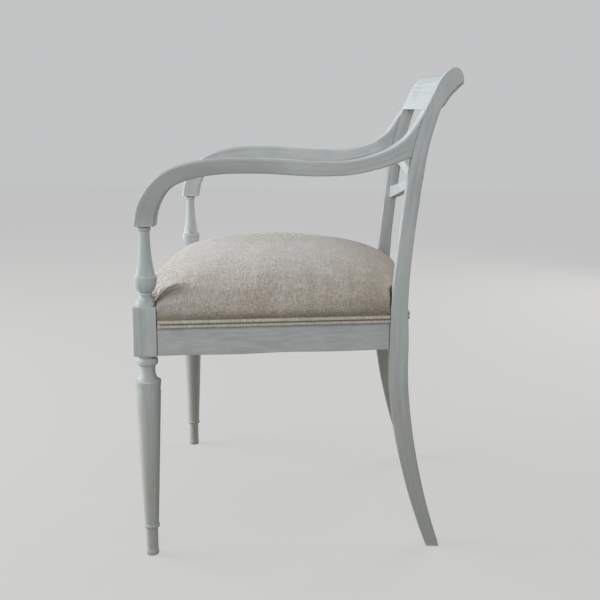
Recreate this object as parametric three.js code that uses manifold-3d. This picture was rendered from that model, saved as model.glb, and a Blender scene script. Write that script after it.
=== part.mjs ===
// A painted wooden fauteuil: turned front legs, swept rear legs, open scrolled arms, a hollow back
// with a saltire, and a stuffed seat in linen. Millimetres, Z up. The chair faces -Y, and the
// sitter's left is +X. Everything is drawn from the front legs' axes and moved to the middle last.

import * as THREE from 'three';
import { mergeVertices } from 'three/addons/utils/BufferGeometryUtils.js';
import Module from 'manifold-3d';

const wasm = await Module();
wasm.setup();

// Plan of the frame
const frontLegSpacing = 500;
const rearLegSpacing = 384;
const legDistance = 390;

// Heights, each from the piece below it
const railBottom = 347;
const railHeight = 71;
const blockRise = 9;
const balusterHeight = 126;
const postHeight = 379;

// Clearance between pieces, and how far a cutting shape runs past the face that it opens
const gap = 0.3;
const overrun = 4;

// Front leg, turned from one square with the baluster above the block
const blockSize = 37;
const blockArris = 1.2;
const footRadius = 9.6;
const footArris = 1.4;
const toeRadius = 10.4;
const toeHeight = 9;
const ankleHeight = 48;
const ankleWidth = 8;
const ankleRadius = 13;
const taperRadius = 11.5;
const shoulderRadius = 20.7;
const shoulderDrop = 44;
const grooveDrop = 55;
const grooveWidth = 3;
const grooveDepth = 1;
const coveRadius = 11.7;
const coveDrop = 24.4;
const collarRadius = 16.9;
const collarWaist = 12.8;
const collarWidth = 14;
const collarDrop = 4;
const balusterBaseRadius = 17.4;
const balusterNeckRadius = 9.5;
const balusterBeadRadius = 10.6;
const balusterRingRadius = 18.2;
const balusterRingStep = 2.6;
const balusterWaistRadius = 8.4;
const balusterTopRadius = 10.4;
const armTenonRadius = 6;
const armTenonLength = 22;
const turningSides = 16;
const mouldingSteps = 4;

// Rear leg, sawn from a plank, with the post above the seat and its scroll
const rearLegWidth = 29;
const rearLegDepth = 31;
const rearFootDepth = 22;
const postDepth = 23.5;
const postEaseRise = 82;
const footSetback = 73;
const sweepDrop = 19;
const sweepPower = 1.8;
const postLean = 44;
const scrollRise = 62;
const scrollReach = 56.8;
const legArris = 1.5;
const sweepSteps = 10;
const postSteps = 10;

// Seat rails, with their tenons
const railThickness = 24;
const backRailThickness = 20;
const railRecess = 5;
const backRailRecess = 4.5;
const railTenonThickness = 9;
const railTenonMargin = 10;
const frontTenonLength = 16;
const tenonWall = 4;
const backTenonLength = 13;
const frontTenonOffset = 1.8;

// Arms
const armRise = 93;
const armDepth = 24;
const armFrontWidth = 31;
const armBow = 12;
const armEase = 4;
const armCrown = 2.5;
const armPostTenonWidth = 10;
const armPostTenonHeight = 18;
const armPostTenonLength = 11;
const armSteps = 3;

// Back: the top rail between the posts and the two halved bars below it
const crestThickness = 20;
const crestSag = 25;
const crestTenonLength = 12;
const crestTenonHeight = 18;
const crestTenonThickness = 7;
const crestTenonRise = 15;
const crossSpread = 36;
const crossBarHeight = 15.5;
const crossBarFlare = 7.5;
const crossFlarePower = 1.5;
const crossBarThickness = 14.5;
const crossRecess = 9;
const crossSag = 19;
const crossTenonHeight = 14;
const crossTenonThickness = 8;
const crossTenonLength = 10;
const backSteps = 14;

// Corner blocks glued inside the rails, each drawn up by one screw
const cornerBlockSpan = 55;
const cornerBlockHeight = 40;
const cornerBlockDrop = 12;
const screwLength = 46;
const screwRadius = 2;
const screwHeadRadius = 4.6;
const screwHeadHeight = 4;
const screwHeadSink = 1;
const screwPointLength = 6;
const screwSides = 10;

// Webbing and hessian under the stuffing
const webbingWidth = 50;
const webbingThickness = 1.6;
const webbingLegMargin = 8.5;
const webbingEndMargin = 7;
const webbingTurnMargin = 3;
const hessianThickness = 0.8;
const hessianMargin = 4;

// Stuffed seat and its linen cover
const clothThickness = 2;
const seatCrownRise = 86;
const seatEdgeRise = 14;
const seatCrownSetback = 175;
const seatFrontBulge = 14.5;
const seatSideBulge = 8;
const seatBackBulge = 12;
const hemDrop = 24.5;
const seatPoints = 40;
const seatRings = 7;
const ringBunching = 1.2;
const crownSquareness = 2;
const edgeSquareness = 9;
const squarenessPower = 4;
const crownFrontPower = 2.2;
const crownBackPower = 3;
const crownFullness = 0.72;

// Double piping along the lower edge of the cover
const pipingHeight = 12;
const pipingDepth = 5;
const pipingTopDrop = 14;
const pipingEndGap = 1;
const pipingSides = 12;
const pipingWaistPower = 8;

// Places worked out from the sizes above
const railTop = railBottom + railHeight;
const blockTop = railTop + blockRise;
const armBase = blockTop + balusterHeight;
const totalHeight = railTop + postHeight;
const crestBottom = totalHeight - scrollRise;
const sweepHeight = railBottom - sweepDrop;
const frontLegX = frontLegSpacing / 2;
const rearLegX = rearLegSpacing / 2;
const blockHalf = blockSize / 2;
const frontLegHalf = Math.max(blockHalf, balusterBaseRadius, balusterRingRadius);
const rearLegInner = rearLegX - rearLegWidth / 2;
const rearLegOuter = rearLegX + rearLegWidth / 2;
const frontRailFace = railRecess - blockHalf;
const backRailFace = legDistance + rearLegDepth - backRailRecess;
const sideRailFrontX = frontLegX + blockHalf - railRecess;
const sideRailRearX = rearLegOuter - railRecess;
const sideRailSlope = (sideRailRearX - sideRailFrontX) / (legDistance - blockHalf);
const sideRailAcross = railThickness * Math.hypot(1, sideRailSlope);

// Outlines as shares of the sizes that they follow
const postLeanShares = [[0, 0], [0.14, 0.092], [0.45, 0.295], [0.75, 0.553], [0.9, 0.78], [1, 1]];
const scrollShares = [
  [0, 0], [0.155, 0.303], [0.343, 0.685], [0.461, 0.83], [0.588, 0.95], [0.711, 1], [0.819, 0.987],
  [0.917, 0.924], [0.977, 0.789], [1, 0.666], [0.935, 0.619], [0.805, 0.508], [0.648, 0.36],
  [0.57, 0.24], [0.496, 0.111],
];
const armAlongShares = [
  0.004, 0.022, 0.074, 0.151, 0.279, 0.462, 0.667, 0.821, 0.941, 1.021, 1.085, 1.154,
];
const armHeightShares = [
  0, 0.339, 0.673, 0.86, 0.974, 0.992, 0.949, 0.968, 1.085, 1.228, 1.408, 1.76,
];
const armDepthShares = [
  1.33, 1.26, 1.06, 1.01, 0.93, 0.88, 0.9, 0.88, 0.95, 1.146, 1.5, 1.833,
];
const crestTenonShare = 0.33;
const crossHeightShare = 0.6;
const crossWebbingShare = 0.198;
const paddingBulgeShare = 0.55;
const crownTipShare = 0.04;
const pipingEndShares = [[0, 0.45], [0.25, 0.8], [0.5, 1]];
const pipingWaistShare = 0.35;
const balusterFlareShares = [[0.012, 1], [0.031, 0.94], [0.068, 0.54], [0.093, 0.165], [0.118, 0]];
const balusterBeadShares = [0.127, 0.159];
const balusterRingShares = [0.33, 0.373, 0.376];
const balusterCollarShares = [0.93, 0.945, 0.98];
const balusterBulbShares = [[0.18, 0.25], [0.2, 0.46], [0.229, 0.69], [0.26, 0.85], [0.291, 0.95]];
const balusterBodyShares = [
  [0.44, 0.735], [0.526, 0.5], [0.6, 0.32], [0.687, 0.18], [0.811, 0.055], [0.91, 0],
];

// A closed solid from a geometry, and back again

function toSolid(geometry) {
  const bare = geometry.index ? geometry.toNonIndexed() : geometry.clone();
  bare.deleteAttribute('normal');
  bare.deleteAttribute('uv');
  const merged = mergeVertices(bare);
  const corners = [];
  for (let i = 0; i < merged.index.count; i += 3) {
    const [a, b, c] = [0, 1, 2].map((k) => merged.index.getX(i + k));
    if (a !== b && b !== c && c !== a) {
      corners.push(a, b, c);
    }
  }
  const vertProperties = new Float32Array(merged.attributes.position.array);
  const triVerts = new Uint32Array(facingOut(vertProperties, corners));
  return new wasm.Manifold(new wasm.Mesh({ numProp: 3, vertProperties, triVerts }));
}

function facingOut(places, corners) {
  let volume = 0;
  const point = (i) => new THREE.Vector3().fromArray(places, 3 * i);
  for (let i = 0; i < corners.length; i += 3) {
    const [a, b, c] = [point(corners[i]), point(corners[i + 1]), point(corners[i + 2])];
    volume += a.dot(b.cross(c));
  }
  return volume < 0 ? corners.slice().reverse() : corners;
}

function toGeometry(solid) {
  const mesh = solid.getMesh();
  const geometry = new THREE.BufferGeometry();
  geometry.setAttribute('position', new THREE.BufferAttribute(new Float32Array(mesh.vertProperties), 3));
  geometry.setIndex(Array.from(mesh.triVerts));
  return geometry;
}

function mirrored(geometry) {
  const copy = geometry.clone();
  copy.scale(-1, 1, 1);
  copy.setIndex(Array.from(copy.index.array).reverse());
  return copy;
}

function bothSides(solid) {
  return solid.add(toSolid(mirrored(toGeometry(solid))));
}

// Simple shapes

function box(lowX, lowY, lowZ, highX, highY, highZ) {
  const geometry = new THREE.BoxGeometry(highX - lowX, highY - lowY, highZ - lowZ);
  geometry.translate((lowX + highX) / 2, (lowY + highY) / 2, (lowZ + highZ) / 2);
  return toSolid(geometry);
}

function turned(profile, sides) {
  const geometry = new THREE.LatheGeometry(profile.map(([r, z]) => new THREE.Vector2(r, z)), sides);
  geometry.rotateX(Math.PI / 2);
  return geometry;
}

// An outline in the plan, raised from low to high
function slab(outline, low, high) {
  const shape = new THREE.Shape(outline.map(([x, y]) => new THREE.Vector2(x, y)));
  const geometry = new THREE.ExtrudeGeometry(shape, { depth: high - low, bevelEnabled: false });
  geometry.translate(0, 0, low);
  return toSolid(geometry);
}

// An outline of depth and height, run across the chair from lowX to highX, with eased edges
function plank(outline, lowX, highX, arris) {
  const shape = new THREE.Shape(outline.map(([y, z]) => new THREE.Vector2(y, z)));
  const geometry = new THREE.ExtrudeGeometry(shape, {
    depth: highX - lowX - 2 * arris,
    bevelEnabled: arris > 0,
    bevelThickness: arris,
    bevelSize: arris,
    bevelOffset: -arris,
    bevelSegments: 1,
  });
  geometry.translate(0, 0, lowX + arris);
  const across = new THREE.Matrix4().makeBasis(
    new THREE.Vector3(0, 1, 0),
    new THREE.Vector3(0, 0, 1),
    new THREE.Vector3(1, 0, 0),
  );
  geometry.applyMatrix4(across);
  return toSolid(geometry);
}

// A skin through rings of equal count, closed by a flat cap at each end
function loft(rings) {
  const count = rings[0].length;
  const places = rings.flat(2);
  const corners = [];
  for (let r = 0; r + 1 < rings.length; r += 1) {
    for (let i = 0; i < count; i += 1) {
      const j = (i + 1) % count;
      const [a, b] = [r * count + i, r * count + j];
      corners.push(a, b, b + count, a, b + count, a + count);
    }
  }
  const last = (rings.length - 1) * count;
  for (const [a, b, c] of capOf(rings[0])) {
    corners.push(b, a, c, last + a, last + b, last + c);
  }
  const geometry = new THREE.BufferGeometry();
  geometry.setAttribute('position', new THREE.Float32BufferAttribute(places, 3));
  geometry.setIndex(corners);
  return toSolid(geometry);
}

// Triangles across a flat ring, seen along its own normal
function capOf(ring) {
  const points = ring.map((p) => new THREE.Vector3(...p));
  const normal = new THREE.Vector3();
  points.forEach((p, i) => normal.add(p.clone().cross(points[(i + 1) % points.length])));
  const turn = new THREE.Quaternion().setFromUnitVectors(normal.normalize(), new THREE.Vector3(0, 0, 1));
  const flat = points.map((p) => p.applyQuaternion(turn)).map((p) => new THREE.Vector2(p.x, p.y));
  return THREE.ShapeUtils.triangulateShape(flat, []);
}

// Turned mouldings, as lists of radius and height

function halfRound(waist, radius, low, high) {
  return Array.from({ length: mouldingSteps + 1 }, (_, i) => {
    const angle = (Math.PI * i) / mouldingSteps;
    const height = (low + high) / 2 - (Math.cos(angle) * (high - low)) / 2;
    return [waist + (radius - waist) * Math.sin(angle), height];
  });
}

function hollow(fromRadius, low, toRadius, high) {
  return Array.from({ length: mouldingSteps + 1 }, (_, i) => {
    const angle = (Math.PI * i) / mouldingSteps / 2;
    const radius = fromRadius + (toRadius - fromRadius) * Math.sin(angle);
    return [radius, low + (high - low) * (1 - Math.cos(angle))];
  });
}

// The lower turning, from the floor to just inside the square block
function legProfile() {
  const ankleTop = ankleHeight + ankleWidth;
  const shoulder = railBottom - shoulderDrop;
  const groove = railBottom - grooveDrop;
  const cove = railBottom - coveDrop;
  const collarTop = railBottom - collarDrop;
  const collarLow = collarTop - collarWidth;
  const flare = (shoulderRadius - taperRadius) / (shoulder - ankleTop);
  const radiusAt = (z) => taperRadius + flare * (z - ankleTop);
  return [
    [0, 0],
    [toeRadius - footArris, 0],
    [toeRadius, footArris],
    [toeRadius, toeHeight - footArris],
    [footRadius, toeHeight],
    [footRadius, ankleHeight],
    ...halfRound(taperRadius - (ankleRadius - taperRadius), ankleRadius, ankleHeight, ankleTop).slice(1, -1),
    [taperRadius, ankleTop],
    [radiusAt(groove), groove],
    [radiusAt(groove) - grooveDepth, groove + grooveWidth / 2],
    [radiusAt(groove + grooveWidth), groove + grooveWidth],
    [shoulderRadius, shoulder],
    ...hollow(shoulderRadius - footArris, shoulder + footArris, coveRadius, cove),
    ...halfRound(collarWaist, collarRadius, collarLow, collarTop),
    [collarWaist, railBottom + overrun],
    [0, railBottom + overrun],
  ];
}

// The baluster, from just inside the block to its round tenon in the arm
function balusterProfile() {
  const at = (share) => blockTop + share * balusterHeight;
  const flare = balusterBaseRadius - balusterNeckRadius;
  const bulge = balusterRingRadius - balusterNeckRadius;
  const body = balusterRingRadius - balusterRingStep - balusterWaistRadius;
  const shoulder = armBase - gap;
  const [beadLow, beadHigh] = balusterBeadShares.map(at);
  const [ringLow, ringHigh, ringStep] = balusterRingShares.map(at);
  const [collarFoot, collarLow, collarHigh] = balusterCollarShares.map(at);
  return [
    [0, blockTop - overrun],
    [balusterBaseRadius, blockTop - overrun],
    ...balusterFlareShares.map(([z, r]) => [balusterNeckRadius + flare * r, at(z)]),
    ...halfRound(balusterNeckRadius, balusterBeadRadius, beadLow, beadHigh),
    ...balusterBulbShares.map(([z, r]) => [balusterNeckRadius + bulge * r, at(z)]),
    [balusterRingRadius, ringLow],
    [balusterRingRadius, ringHigh],
    [balusterRingRadius - balusterRingStep, ringStep],
    ...balusterBodyShares.map(([z, r]) => [balusterWaistRadius + body * r, at(z)]),
    [balusterWaistRadius, collarFoot],
    [balusterTopRadius, collarLow],
    [balusterTopRadius, collarHigh],
    [balusterWaistRadius, shoulder],
    [armTenonRadius, shoulder],
    [armTenonRadius, armBase + armTenonLength],
    [0, armBase + armTenonLength],
  ];
}

// Rear leg and post, in depth behind the leg's front face at the seat

const postCurve = new THREE.SplineCurve(
  postLeanShares.map(([z, y]) => new THREE.Vector2(railTop + z * (crestBottom - railTop), y * postLean)),
).getPoints(postLeanShares.length * armSteps * 2);

function legFront(z) {
  if (z < sweepHeight) {
    return footSetback * ((sweepHeight - z) / sweepHeight) ** sweepPower;
  }
  const next = postCurve.findIndex((p) => p.x > z);
  if (next < 1) {
    return z < crestBottom ? 0 : postLean;
  }
  const [a, b] = [postCurve[next - 1], postCurve[next]];
  return a.y + ((b.y - a.y) * (z - a.x)) / (b.x - a.x);
}

function legDepth(z) {
  if (z < railBottom) {
    const share = Math.min(z / (railBottom - railHeight), 1);
    return rearFootDepth + (rearLegDepth - rearFootDepth) * Math.sin((Math.PI / 2) * share);
  }
  const share = THREE.MathUtils.smoothstep(z, railBottom, railTop + postEaseRise);
  return rearLegDepth + (postDepth - rearLegDepth) * share;
}

const scrollOutline = scrollShares.map(([y, z]) => [
  legDistance + postLean + y * scrollReach,
  crestBottom + z * scrollRise,
]);

// Heights at which the leg's edges are drawn, close together where they curve
function legHeights() {
  const low = Array.from({ length: sweepSteps }, (_, i) => (i * sweepHeight) / sweepSteps);
  const seat = [sweepHeight, railBottom, (railBottom + railTop) / 2, railTop];
  const step = (crestBottom - railTop) / postSteps;
  const high = Array.from({ length: postSteps - 1 }, (_, i) => railTop + (i + 1) * step);
  return [...low, ...seat, ...high];
}

function rearLegOutline() {
  const front = legHeights().map((z) => [legDistance + legFront(z), z]);
  const back = legHeights().map((z) => [legDistance + legFront(z) + legDepth(z), z]);
  return [...front, ...scrollOutline, ...back.reverse()];
}

const crossHeight = railTop + crossHeightShare * (crestBottom - railTop);

// Tenons and the mortises that take them: the same boxes, grown by a clearance

function railTenon(lowX, lowY, highX, highY, grow) {
  const [low, high] = [railBottom + railTenonMargin, railTop - railTenonMargin];
  return box(lowX - grow, lowY - grow, low - grow, highX + grow, highY + grow, high + grow);
}

function frontRailTenon(grow) {
  const middle = frontRailFace + railThickness / 2 - frontTenonOffset;
  const half = railTenonThickness / 2;
  const inner = frontLegX - blockHalf;
  return railTenon(inner - overrun, middle - half, inner + frontTenonLength, middle + half, grow);
}

function sideRailFrontTenon(grow) {
  const middle = sideRailFrontX - sideRailAcross / 2;
  const half = railTenonThickness / 2;
  const end = frontRailFace + railThickness / 2 - frontTenonOffset + half + tenonWall;
  return railTenon(middle - half, end, middle + half, blockHalf + overrun, grow);
}

function sideRailRearTenon(grow) {
  const middle = sideRailRearX - sideRailAcross / 2;
  const half = railTenonThickness / 2;
  const end = backRailFace - backRailThickness / 2 - half - tenonWall;
  return railTenon(middle - half, legDistance - overrun, middle + half, end, grow);
}

function backRailTenon(grow) {
  const middle = backRailFace - backRailThickness / 2;
  const half = railTenonThickness / 2;
  const end = rearLegInner + backTenonLength;
  return railTenon(rearLegInner - overrun, middle - half, end, middle + half, grow);
}

function armBalusterSocket() {
  const profile = [
    [0, armBase - overrun],
    [armTenonRadius + gap, armBase - overrun],
    [armTenonRadius + gap, armBase + armTenonLength + gap],
    [0, armBase + armTenonLength + gap],
  ];
  return toSolid(turned(profile, turningSides).translate(frontLegX, 0, 0));
}

// A tenon into the post's inner side, around its middle in depth and height
function postTenon(middle, height, thickness, tall, length, grow) {
  const halfY = thickness / 2 + grow;
  const halfZ = tall / 2 + grow;
  const [start, end] = [rearLegInner - overrun, rearLegInner + length + grow];
  return box(start, middle - halfY, height - halfZ, end, middle + halfY, height + halfZ);
}

function crestTenon(grow) {
  const middle = legDistance + postLean + crestTenonShare * scrollReach;
  const height = crestBottom + crestTenonRise;
  return postTenon(middle, height, crestTenonThickness, crestTenonHeight, crestTenonLength, grow);
}

function crossTenon(rise, grow) {
  const height = crossHeight + rise * crossSpread;
  const middle = legDistance + legFront(height) + crossRecess + crossBarThickness / 2;
  return postTenon(middle, height, crossTenonThickness, crossTenonHeight, crossTenonLength, grow);
}

// The arm's centre line, from the baluster's top to inside the post, in depth and height
const armStations = armAlongShares.map((share, i) => {
  const height = armBase + armHeightShares[i] * armRise;
  return new THREE.Vector2(share * legDistance, height);
});
const armLine = new THREE.SplineCurve(armStations).getPoints((armStations.length - 1) * armSteps);

const armMeeting = armLine.find((p) => p.x > legDistance + legFront(p.y));

function armPostTenon(grow) {
  const face = legDistance + legFront(armMeeting.y);
  const halfX = armPostTenonWidth / 2 + grow;
  const halfZ = armPostTenonHeight / 2 + grow;
  return box(
    rearLegX - halfX, face - armPostTenonLength, armMeeting.y - halfZ,
    rearLegX + halfX, face + armPostTenonLength + grow, armMeeting.y + halfZ,
  );
}

// Wooden pieces on the sitter's left side

function frontLeg() {
  const half = blockHalf - blockArris;
  const shape = new THREE.Shape();
  shape.moveTo(-half, -half).lineTo(half, -half).lineTo(half, half).lineTo(-half, half);
  const block = new THREE.ExtrudeGeometry(shape, {
    depth: blockTop - railBottom - 2 * blockArris,
    bevelThickness: blockArris,
    bevelSize: blockArris,
    bevelSegments: 1,
  });
  block.translate(0, 0, railBottom + blockArris);
  return toSolid(block)
    .add(toSolid(turned(legProfile(), turningSides)))
    .add(toSolid(turned(balusterProfile(), turningSides)))
    .translate([frontLegX, 0, 0])
    .subtract(frontRailTenon(gap))
    .subtract(sideRailFrontTenon(gap))
    .subtract(cornerScrew(frontCorner, gap));
}

function rearLeg() {
  return plank(rearLegOutline(), rearLegInner, rearLegOuter, legArris)
    .subtract(sideRailRearTenon(gap))
    .subtract(backRailTenon(gap))
    .subtract(armPostTenon(gap))
    .subtract(crestTenon(gap))
    .subtract(crossTenon(1, gap))
    .subtract(crossTenon(-1, gap))
    .subtract(cornerScrew(rearCorner, gap));
}

function sideRail() {
  const [front, rear] = [blockHalf + gap, legDistance - gap];
  const outline = [
    [sideFaceX(front), front],
    [sideFaceX(rear), rear],
    [sideFaceX(rear) - sideRailAcross, rear],
    [sideFaceX(front) - sideRailAcross, front],
  ];
  return slab(outline, railBottom, railTop)
    .add(sideRailFrontTenon(0))
    .add(sideRailRearTenon(0))
    .subtract(cornerScrew(frontCorner, gap))
    .subtract(cornerScrew(rearCorner, gap));
}

function sideFaceX(y) {
  return sideRailFrontX + sideRailSlope * (y - blockHalf);
}

// The middle of the arm's width, bowed outwards between the baluster and the post
function armMiddleX(y) {
  const share = THREE.MathUtils.clamp(y / legDistance, 0, 1);
  return THREE.MathUtils.lerp(frontLegX, rearLegX, share) + armBow * 4 * share * (1 - share);
}

function armRing(i) {
  const p = armLine[i];
  const before = armLine[Math.max(i - 1, 0)];
  const after = armLine[Math.min(i + 1, armLine.length - 1)];
  const along = i === 0 ? new THREE.Vector2(0, 1) : after.clone().sub(before).normalize();
  const station = Math.min(Math.floor(i / armSteps), armDepthShares.length - 2);
  const share = i / armSteps - station;
  const depth = armDepth * THREE.MathUtils.lerp(armDepthShares[station], armDepthShares[station + 1], share);
  const width = THREE.MathUtils.lerp(armFrontWidth, rearLegWidth, Math.min(p.x / legDistance, 1));
  const [a, b] = [width / 2, depth / 2];
  const section = [
    [a, armEase - b], [a, b - armEase], [a - armEase, b], [0, b + armCrown], [armEase - a, b],
    [-a, b - armEase], [-a, armEase - b], [armEase - a, -b], [a - armEase, -b],
  ];
  return section.map(([x, n]) => [armMiddleX(p.x) + x, p.x - n * along.y, p.y + n * along.x]);
}

function arm() {
  const post = legHeights().filter((z) => z >= railBottom).map((z) => [legDistance + legFront(z) - gap, z]);
  const behind = legDistance + postLean + scrollReach + armDepth;
  const upright = legDistance + postLean - gap;
  const postTop = [[upright, crestBottom], [upright, totalHeight]];
  const trim = [...post, ...postTop, [behind, totalHeight], [behind, railBottom]];
  const wide = frontLegX + armFrontWidth;
  return loft(armLine.map((_, i) => armRing(i)))
    .subtract(plank(trim, 0, wide, 0))
    .add(armPostTenon(0))
    .subtract(armBalusterSocket());
}

// Pieces that cross the chair

function frontRail() {
  const end = frontLegX - blockHalf - gap;
  const body = box(-end, frontRailFace, railBottom, end, frontRailFace + railThickness, railTop);
  return body.add(bothSides(frontRailTenon(0))).subtract(bothSides(cornerScrew(frontCorner, gap)));
}

function backRail() {
  const end = rearLegInner - gap;
  const body = box(-end, backRailFace - backRailThickness, railBottom, end, backRailFace, railTop);
  return body.add(bothSides(backRailTenon(0))).subtract(bothSides(cornerScrew(rearCorner, gap)));
}

function sag(x, depth) {
  return depth * (1 - (x / rearLegInner) ** 2);
}

function crossStations() {
  const end = rearLegInner - gap;
  return Array.from({ length: backSteps + 1 }, (_, i) => end * ((2 * i) / backSteps - 1));
}

function crestRail() {
  const section = [...scrollOutline, [legDistance + postLean + crestThickness, crestBottom]];
  const rings = crossStations().map((x) => section.map(([y, z]) => [x, y + sag(x, crestSag), z]));
  return loft(rings).add(bothSides(crestTenon(0)));
}

// One bar of the saltire, or part of its thickness, rising to the sitter's left by rise 1 or -1
function crossBar(rise, front, back, grow) {
  const ring = (x) => {
    const middle = crossHeight + (rise * crossSpread * x) / rearLegInner;
    const flare = crossBarFlare * Math.abs(x / rearLegInner) ** crossFlarePower;
    const half = (crossBarHeight + flare) / 2 + grow;
    const face = (z) => legDistance + legFront(z) + crossRecess + sag(x, crossSag);
    const [low, high] = [middle - half, middle + half];
    return [
      [x, face(high) + front, high],
      [x, face(high) + back, high],
      [x, face(low) + back, low],
      [x, face(low) + front, low],
    ];
  };
  return loft(crossStations().map(ring));
}

function wholeCrossBar(rise) {
  return crossBar(rise, 0, crossBarThickness, 0)
    .add(crossTenon(rise, 0))
    .add(toSolid(mirrored(toGeometry(crossTenon(-rise, 0)))));
}

function risingCrossBar() {
  const halved = crossBar(-1, (crossBarThickness - gap) / 2, crossBarThickness + overrun, gap);
  return wholeCrossBar(1).subtract(halved);
}

function fallingCrossBar() {
  const halved = crossBar(1, -overrun, (crossBarThickness + gap) / 2, gap);
  return wholeCrossBar(-1).subtract(halved);
}

// Corner blocks: each fits the inside corner of two rails and is cut round the leg

const frontCorner = {
  legX: frontLegX - blockHalf,
  legY: blockHalf,
  railY: frontRailFace + railThickness,
  back: -1,
};
const rearCorner = {
  legX: rearLegInner,
  legY: legDistance,
  railY: backRailFace - backRailThickness,
  back: 1,
};

function cornerBlockOutline({ legX, legY, railY, back }) {
  const inside = (y) => sideFaceX(y) - sideRailAcross - gap;
  const nearRail = railY - back * gap;
  const nearLeg = legY - back * gap;
  const startX = legX - cornerBlockSpan;
  const base = inside(nearRail);
  const reach = (base - startX) / (1 + back * sideRailSlope);
  const endY = nearRail - back * reach;
  return [
    [startX, nearRail],
    [legX - gap, nearRail],
    [legX - gap, nearLeg],
    [inside(nearLeg), nearLeg],
    [inside(endY), endY],
  ];
}

function cornerBlock(corner) {
  const high = railTop - cornerBlockDrop;
  return slab(cornerBlockOutline(corner), high - cornerBlockHeight, high).subtract(cornerScrew(corner, gap));
}

// The screw lies at 45 degrees, its head on the block's long face and its point in the leg
function cornerScrew(corner, grow) {
  const [start] = cornerBlockOutline(corner);
  const { legX, legY, railY, back } = corner;
  const entry = (legY + railY) / 2;
  const along = (legX - start[0] + back * (entry - start[1])) / 2;
  const head = [legX - along, entry - back * along];
  const profile = [
    [0, 0],
    [screwHeadRadius + grow, 0],
    [screwRadius + grow, screwHeadHeight + grow],
    [screwRadius + grow, screwLength - screwPointLength + grow],
    [0, screwLength + grow],
  ];
  const geometry = turned(profile, screwSides);
  geometry.rotateX(Math.PI / 2);
  geometry.rotateZ(back > 0 ? (3 * Math.PI) / 4 : Math.PI / 4);
  const height = railTop - cornerBlockDrop - cornerBlockHeight / 2;
  geometry.translate(head[0] + screwHeadSink, head[1] + back * screwHeadSink, height);
  return toSolid(geometry);
}

// Webbing straps laid over and under each other on the rails

function webbingLevel(over) {
  return railTop + gap + (over ? webbingThickness + gap : 0);
}

function strapStations(start, end, crossings, firstOver) {
  const half = webbingWidth / 2 + webbingTurnMargin;
  const turns = crossings.flatMap((c, i) => {
    const level = webbingLevel((i % 2 === 0) === firstOver);
    return [[c - half, level], [c + half, level]];
  });
  return [[start, webbingLevel(false)], ...turns, [end, webbingLevel(false)]];
}

const webbingPitch = (rearLegInner - webbingLegMargin - webbingWidth / 2) / 2;
const webbingPlaces = [-2, -1, 0, 1, 2].map((n) => n * webbingPitch);
const insideMiddle = (frontRailFace + backRailFace) / 2;
const crossWebbingPitch = crossWebbingShare * (backRailFace - frontRailFace);
const crossWebbingPlaces = [-1.5, -0.5, 0.5, 1.5].map((n) => insideMiddle + n * crossWebbingPitch);

function lengthwiseStrap(x, index) {
  const start = frontRailFace + webbingEndMargin;
  const end = backRailFace - webbingEndMargin;
  const [low, high] = [x - webbingWidth / 2, x + webbingWidth / 2];
  const ring = ([y, z]) => [
    [low, y, z],
    [high, y, z],
    [high, y, z + webbingThickness],
    [low, y, z + webbingThickness],
  ];
  return loft(strapStations(start, end, crossWebbingPlaces, index % 2 === 0).map(ring));
}

function crosswiseStrap(y, index) {
  const end = sideFaceX(y + webbingWidth / 2) - webbingEndMargin;
  const [low, high] = [y - webbingWidth / 2, y + webbingWidth / 2];
  const ring = ([x, z]) => [
    [x, low, z],
    [x, high, z],
    [x, high, z + webbingThickness],
    [x, low, z + webbingThickness],
  ];
  return loft(strapStations(-end, end, webbingPlaces, index % 2 === 1).map(ring));
}

// Upholstery: everything is cut back from the legs by the same two corners

const hessianLow = webbingLevel(true) + webbingThickness + gap;
const paddingLow = hessianLow + hessianThickness + gap;
const seatEdge = railTop + seatEdgeRise;
const hemLow = railTop - hemDrop;

function clearOfLegs(solid, clearance) {
  const wide = frontLegSpacing;
  const [low, high] = [railBottom, totalHeight];
  const frontX = frontLegX - frontLegHalf - clearance;
  const rearX = rearLegInner - clearance;
  const frontY = frontLegHalf + clearance;
  const rearY = legDistance - clearance;
  return solid
    .subtract(box(frontX, -legDistance, low, wide, frontY, high))
    .subtract(box(-wide, -legDistance, low, -frontX, frontY, high))
    .subtract(box(rearX, rearY, low, wide, 2 * legDistance, high))
    .subtract(box(-wide, rearY, low, -rearX, 2 * legDistance, high));
}

function hessian() {
  const [front, back] = [frontRailFace + hessianMargin, backRailFace - hessianMargin];
  const outline = [
    [sideFaceX(front) - hessianMargin, front],
    [sideFaceX(back) - hessianMargin, back],
    [hessianMargin - sideFaceX(back), back],
    [hessianMargin - sideFaceX(front), front],
  ];
  return clearOfLegs(slab(outline, hessianLow, hessianLow + hessianThickness), gap);
}

// A point of the seat's plan: u and v run from -1 to 1 across and along it
function seatPlace(u, v, front, side, back, squareness) {
  const round = (Math.abs(u) ** squareness + Math.abs(v) ** squareness) ** (-1 / squareness);
  const [x, w] = [u * round, v * round];
  const forward = seatCrownSetback - frontRailFace + front;
  const backward = backRailFace + back - seatCrownSetback;
  const y = seatCrownSetback + w * (w < 0 ? forward : backward);
  return [x * (sideFaceX(y) + side), y];
}

// The square's edge, walked round once
function squareEdge(i) {
  const side = Math.floor((4 * i) / seatPoints);
  const t = Math.sin((Math.PI / 2) * (((4 * i) / seatPoints - side) * 2 - 1));
  return [[t, -1], [1, t], [-t, 1], [-1, -t]][side];
}

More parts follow.
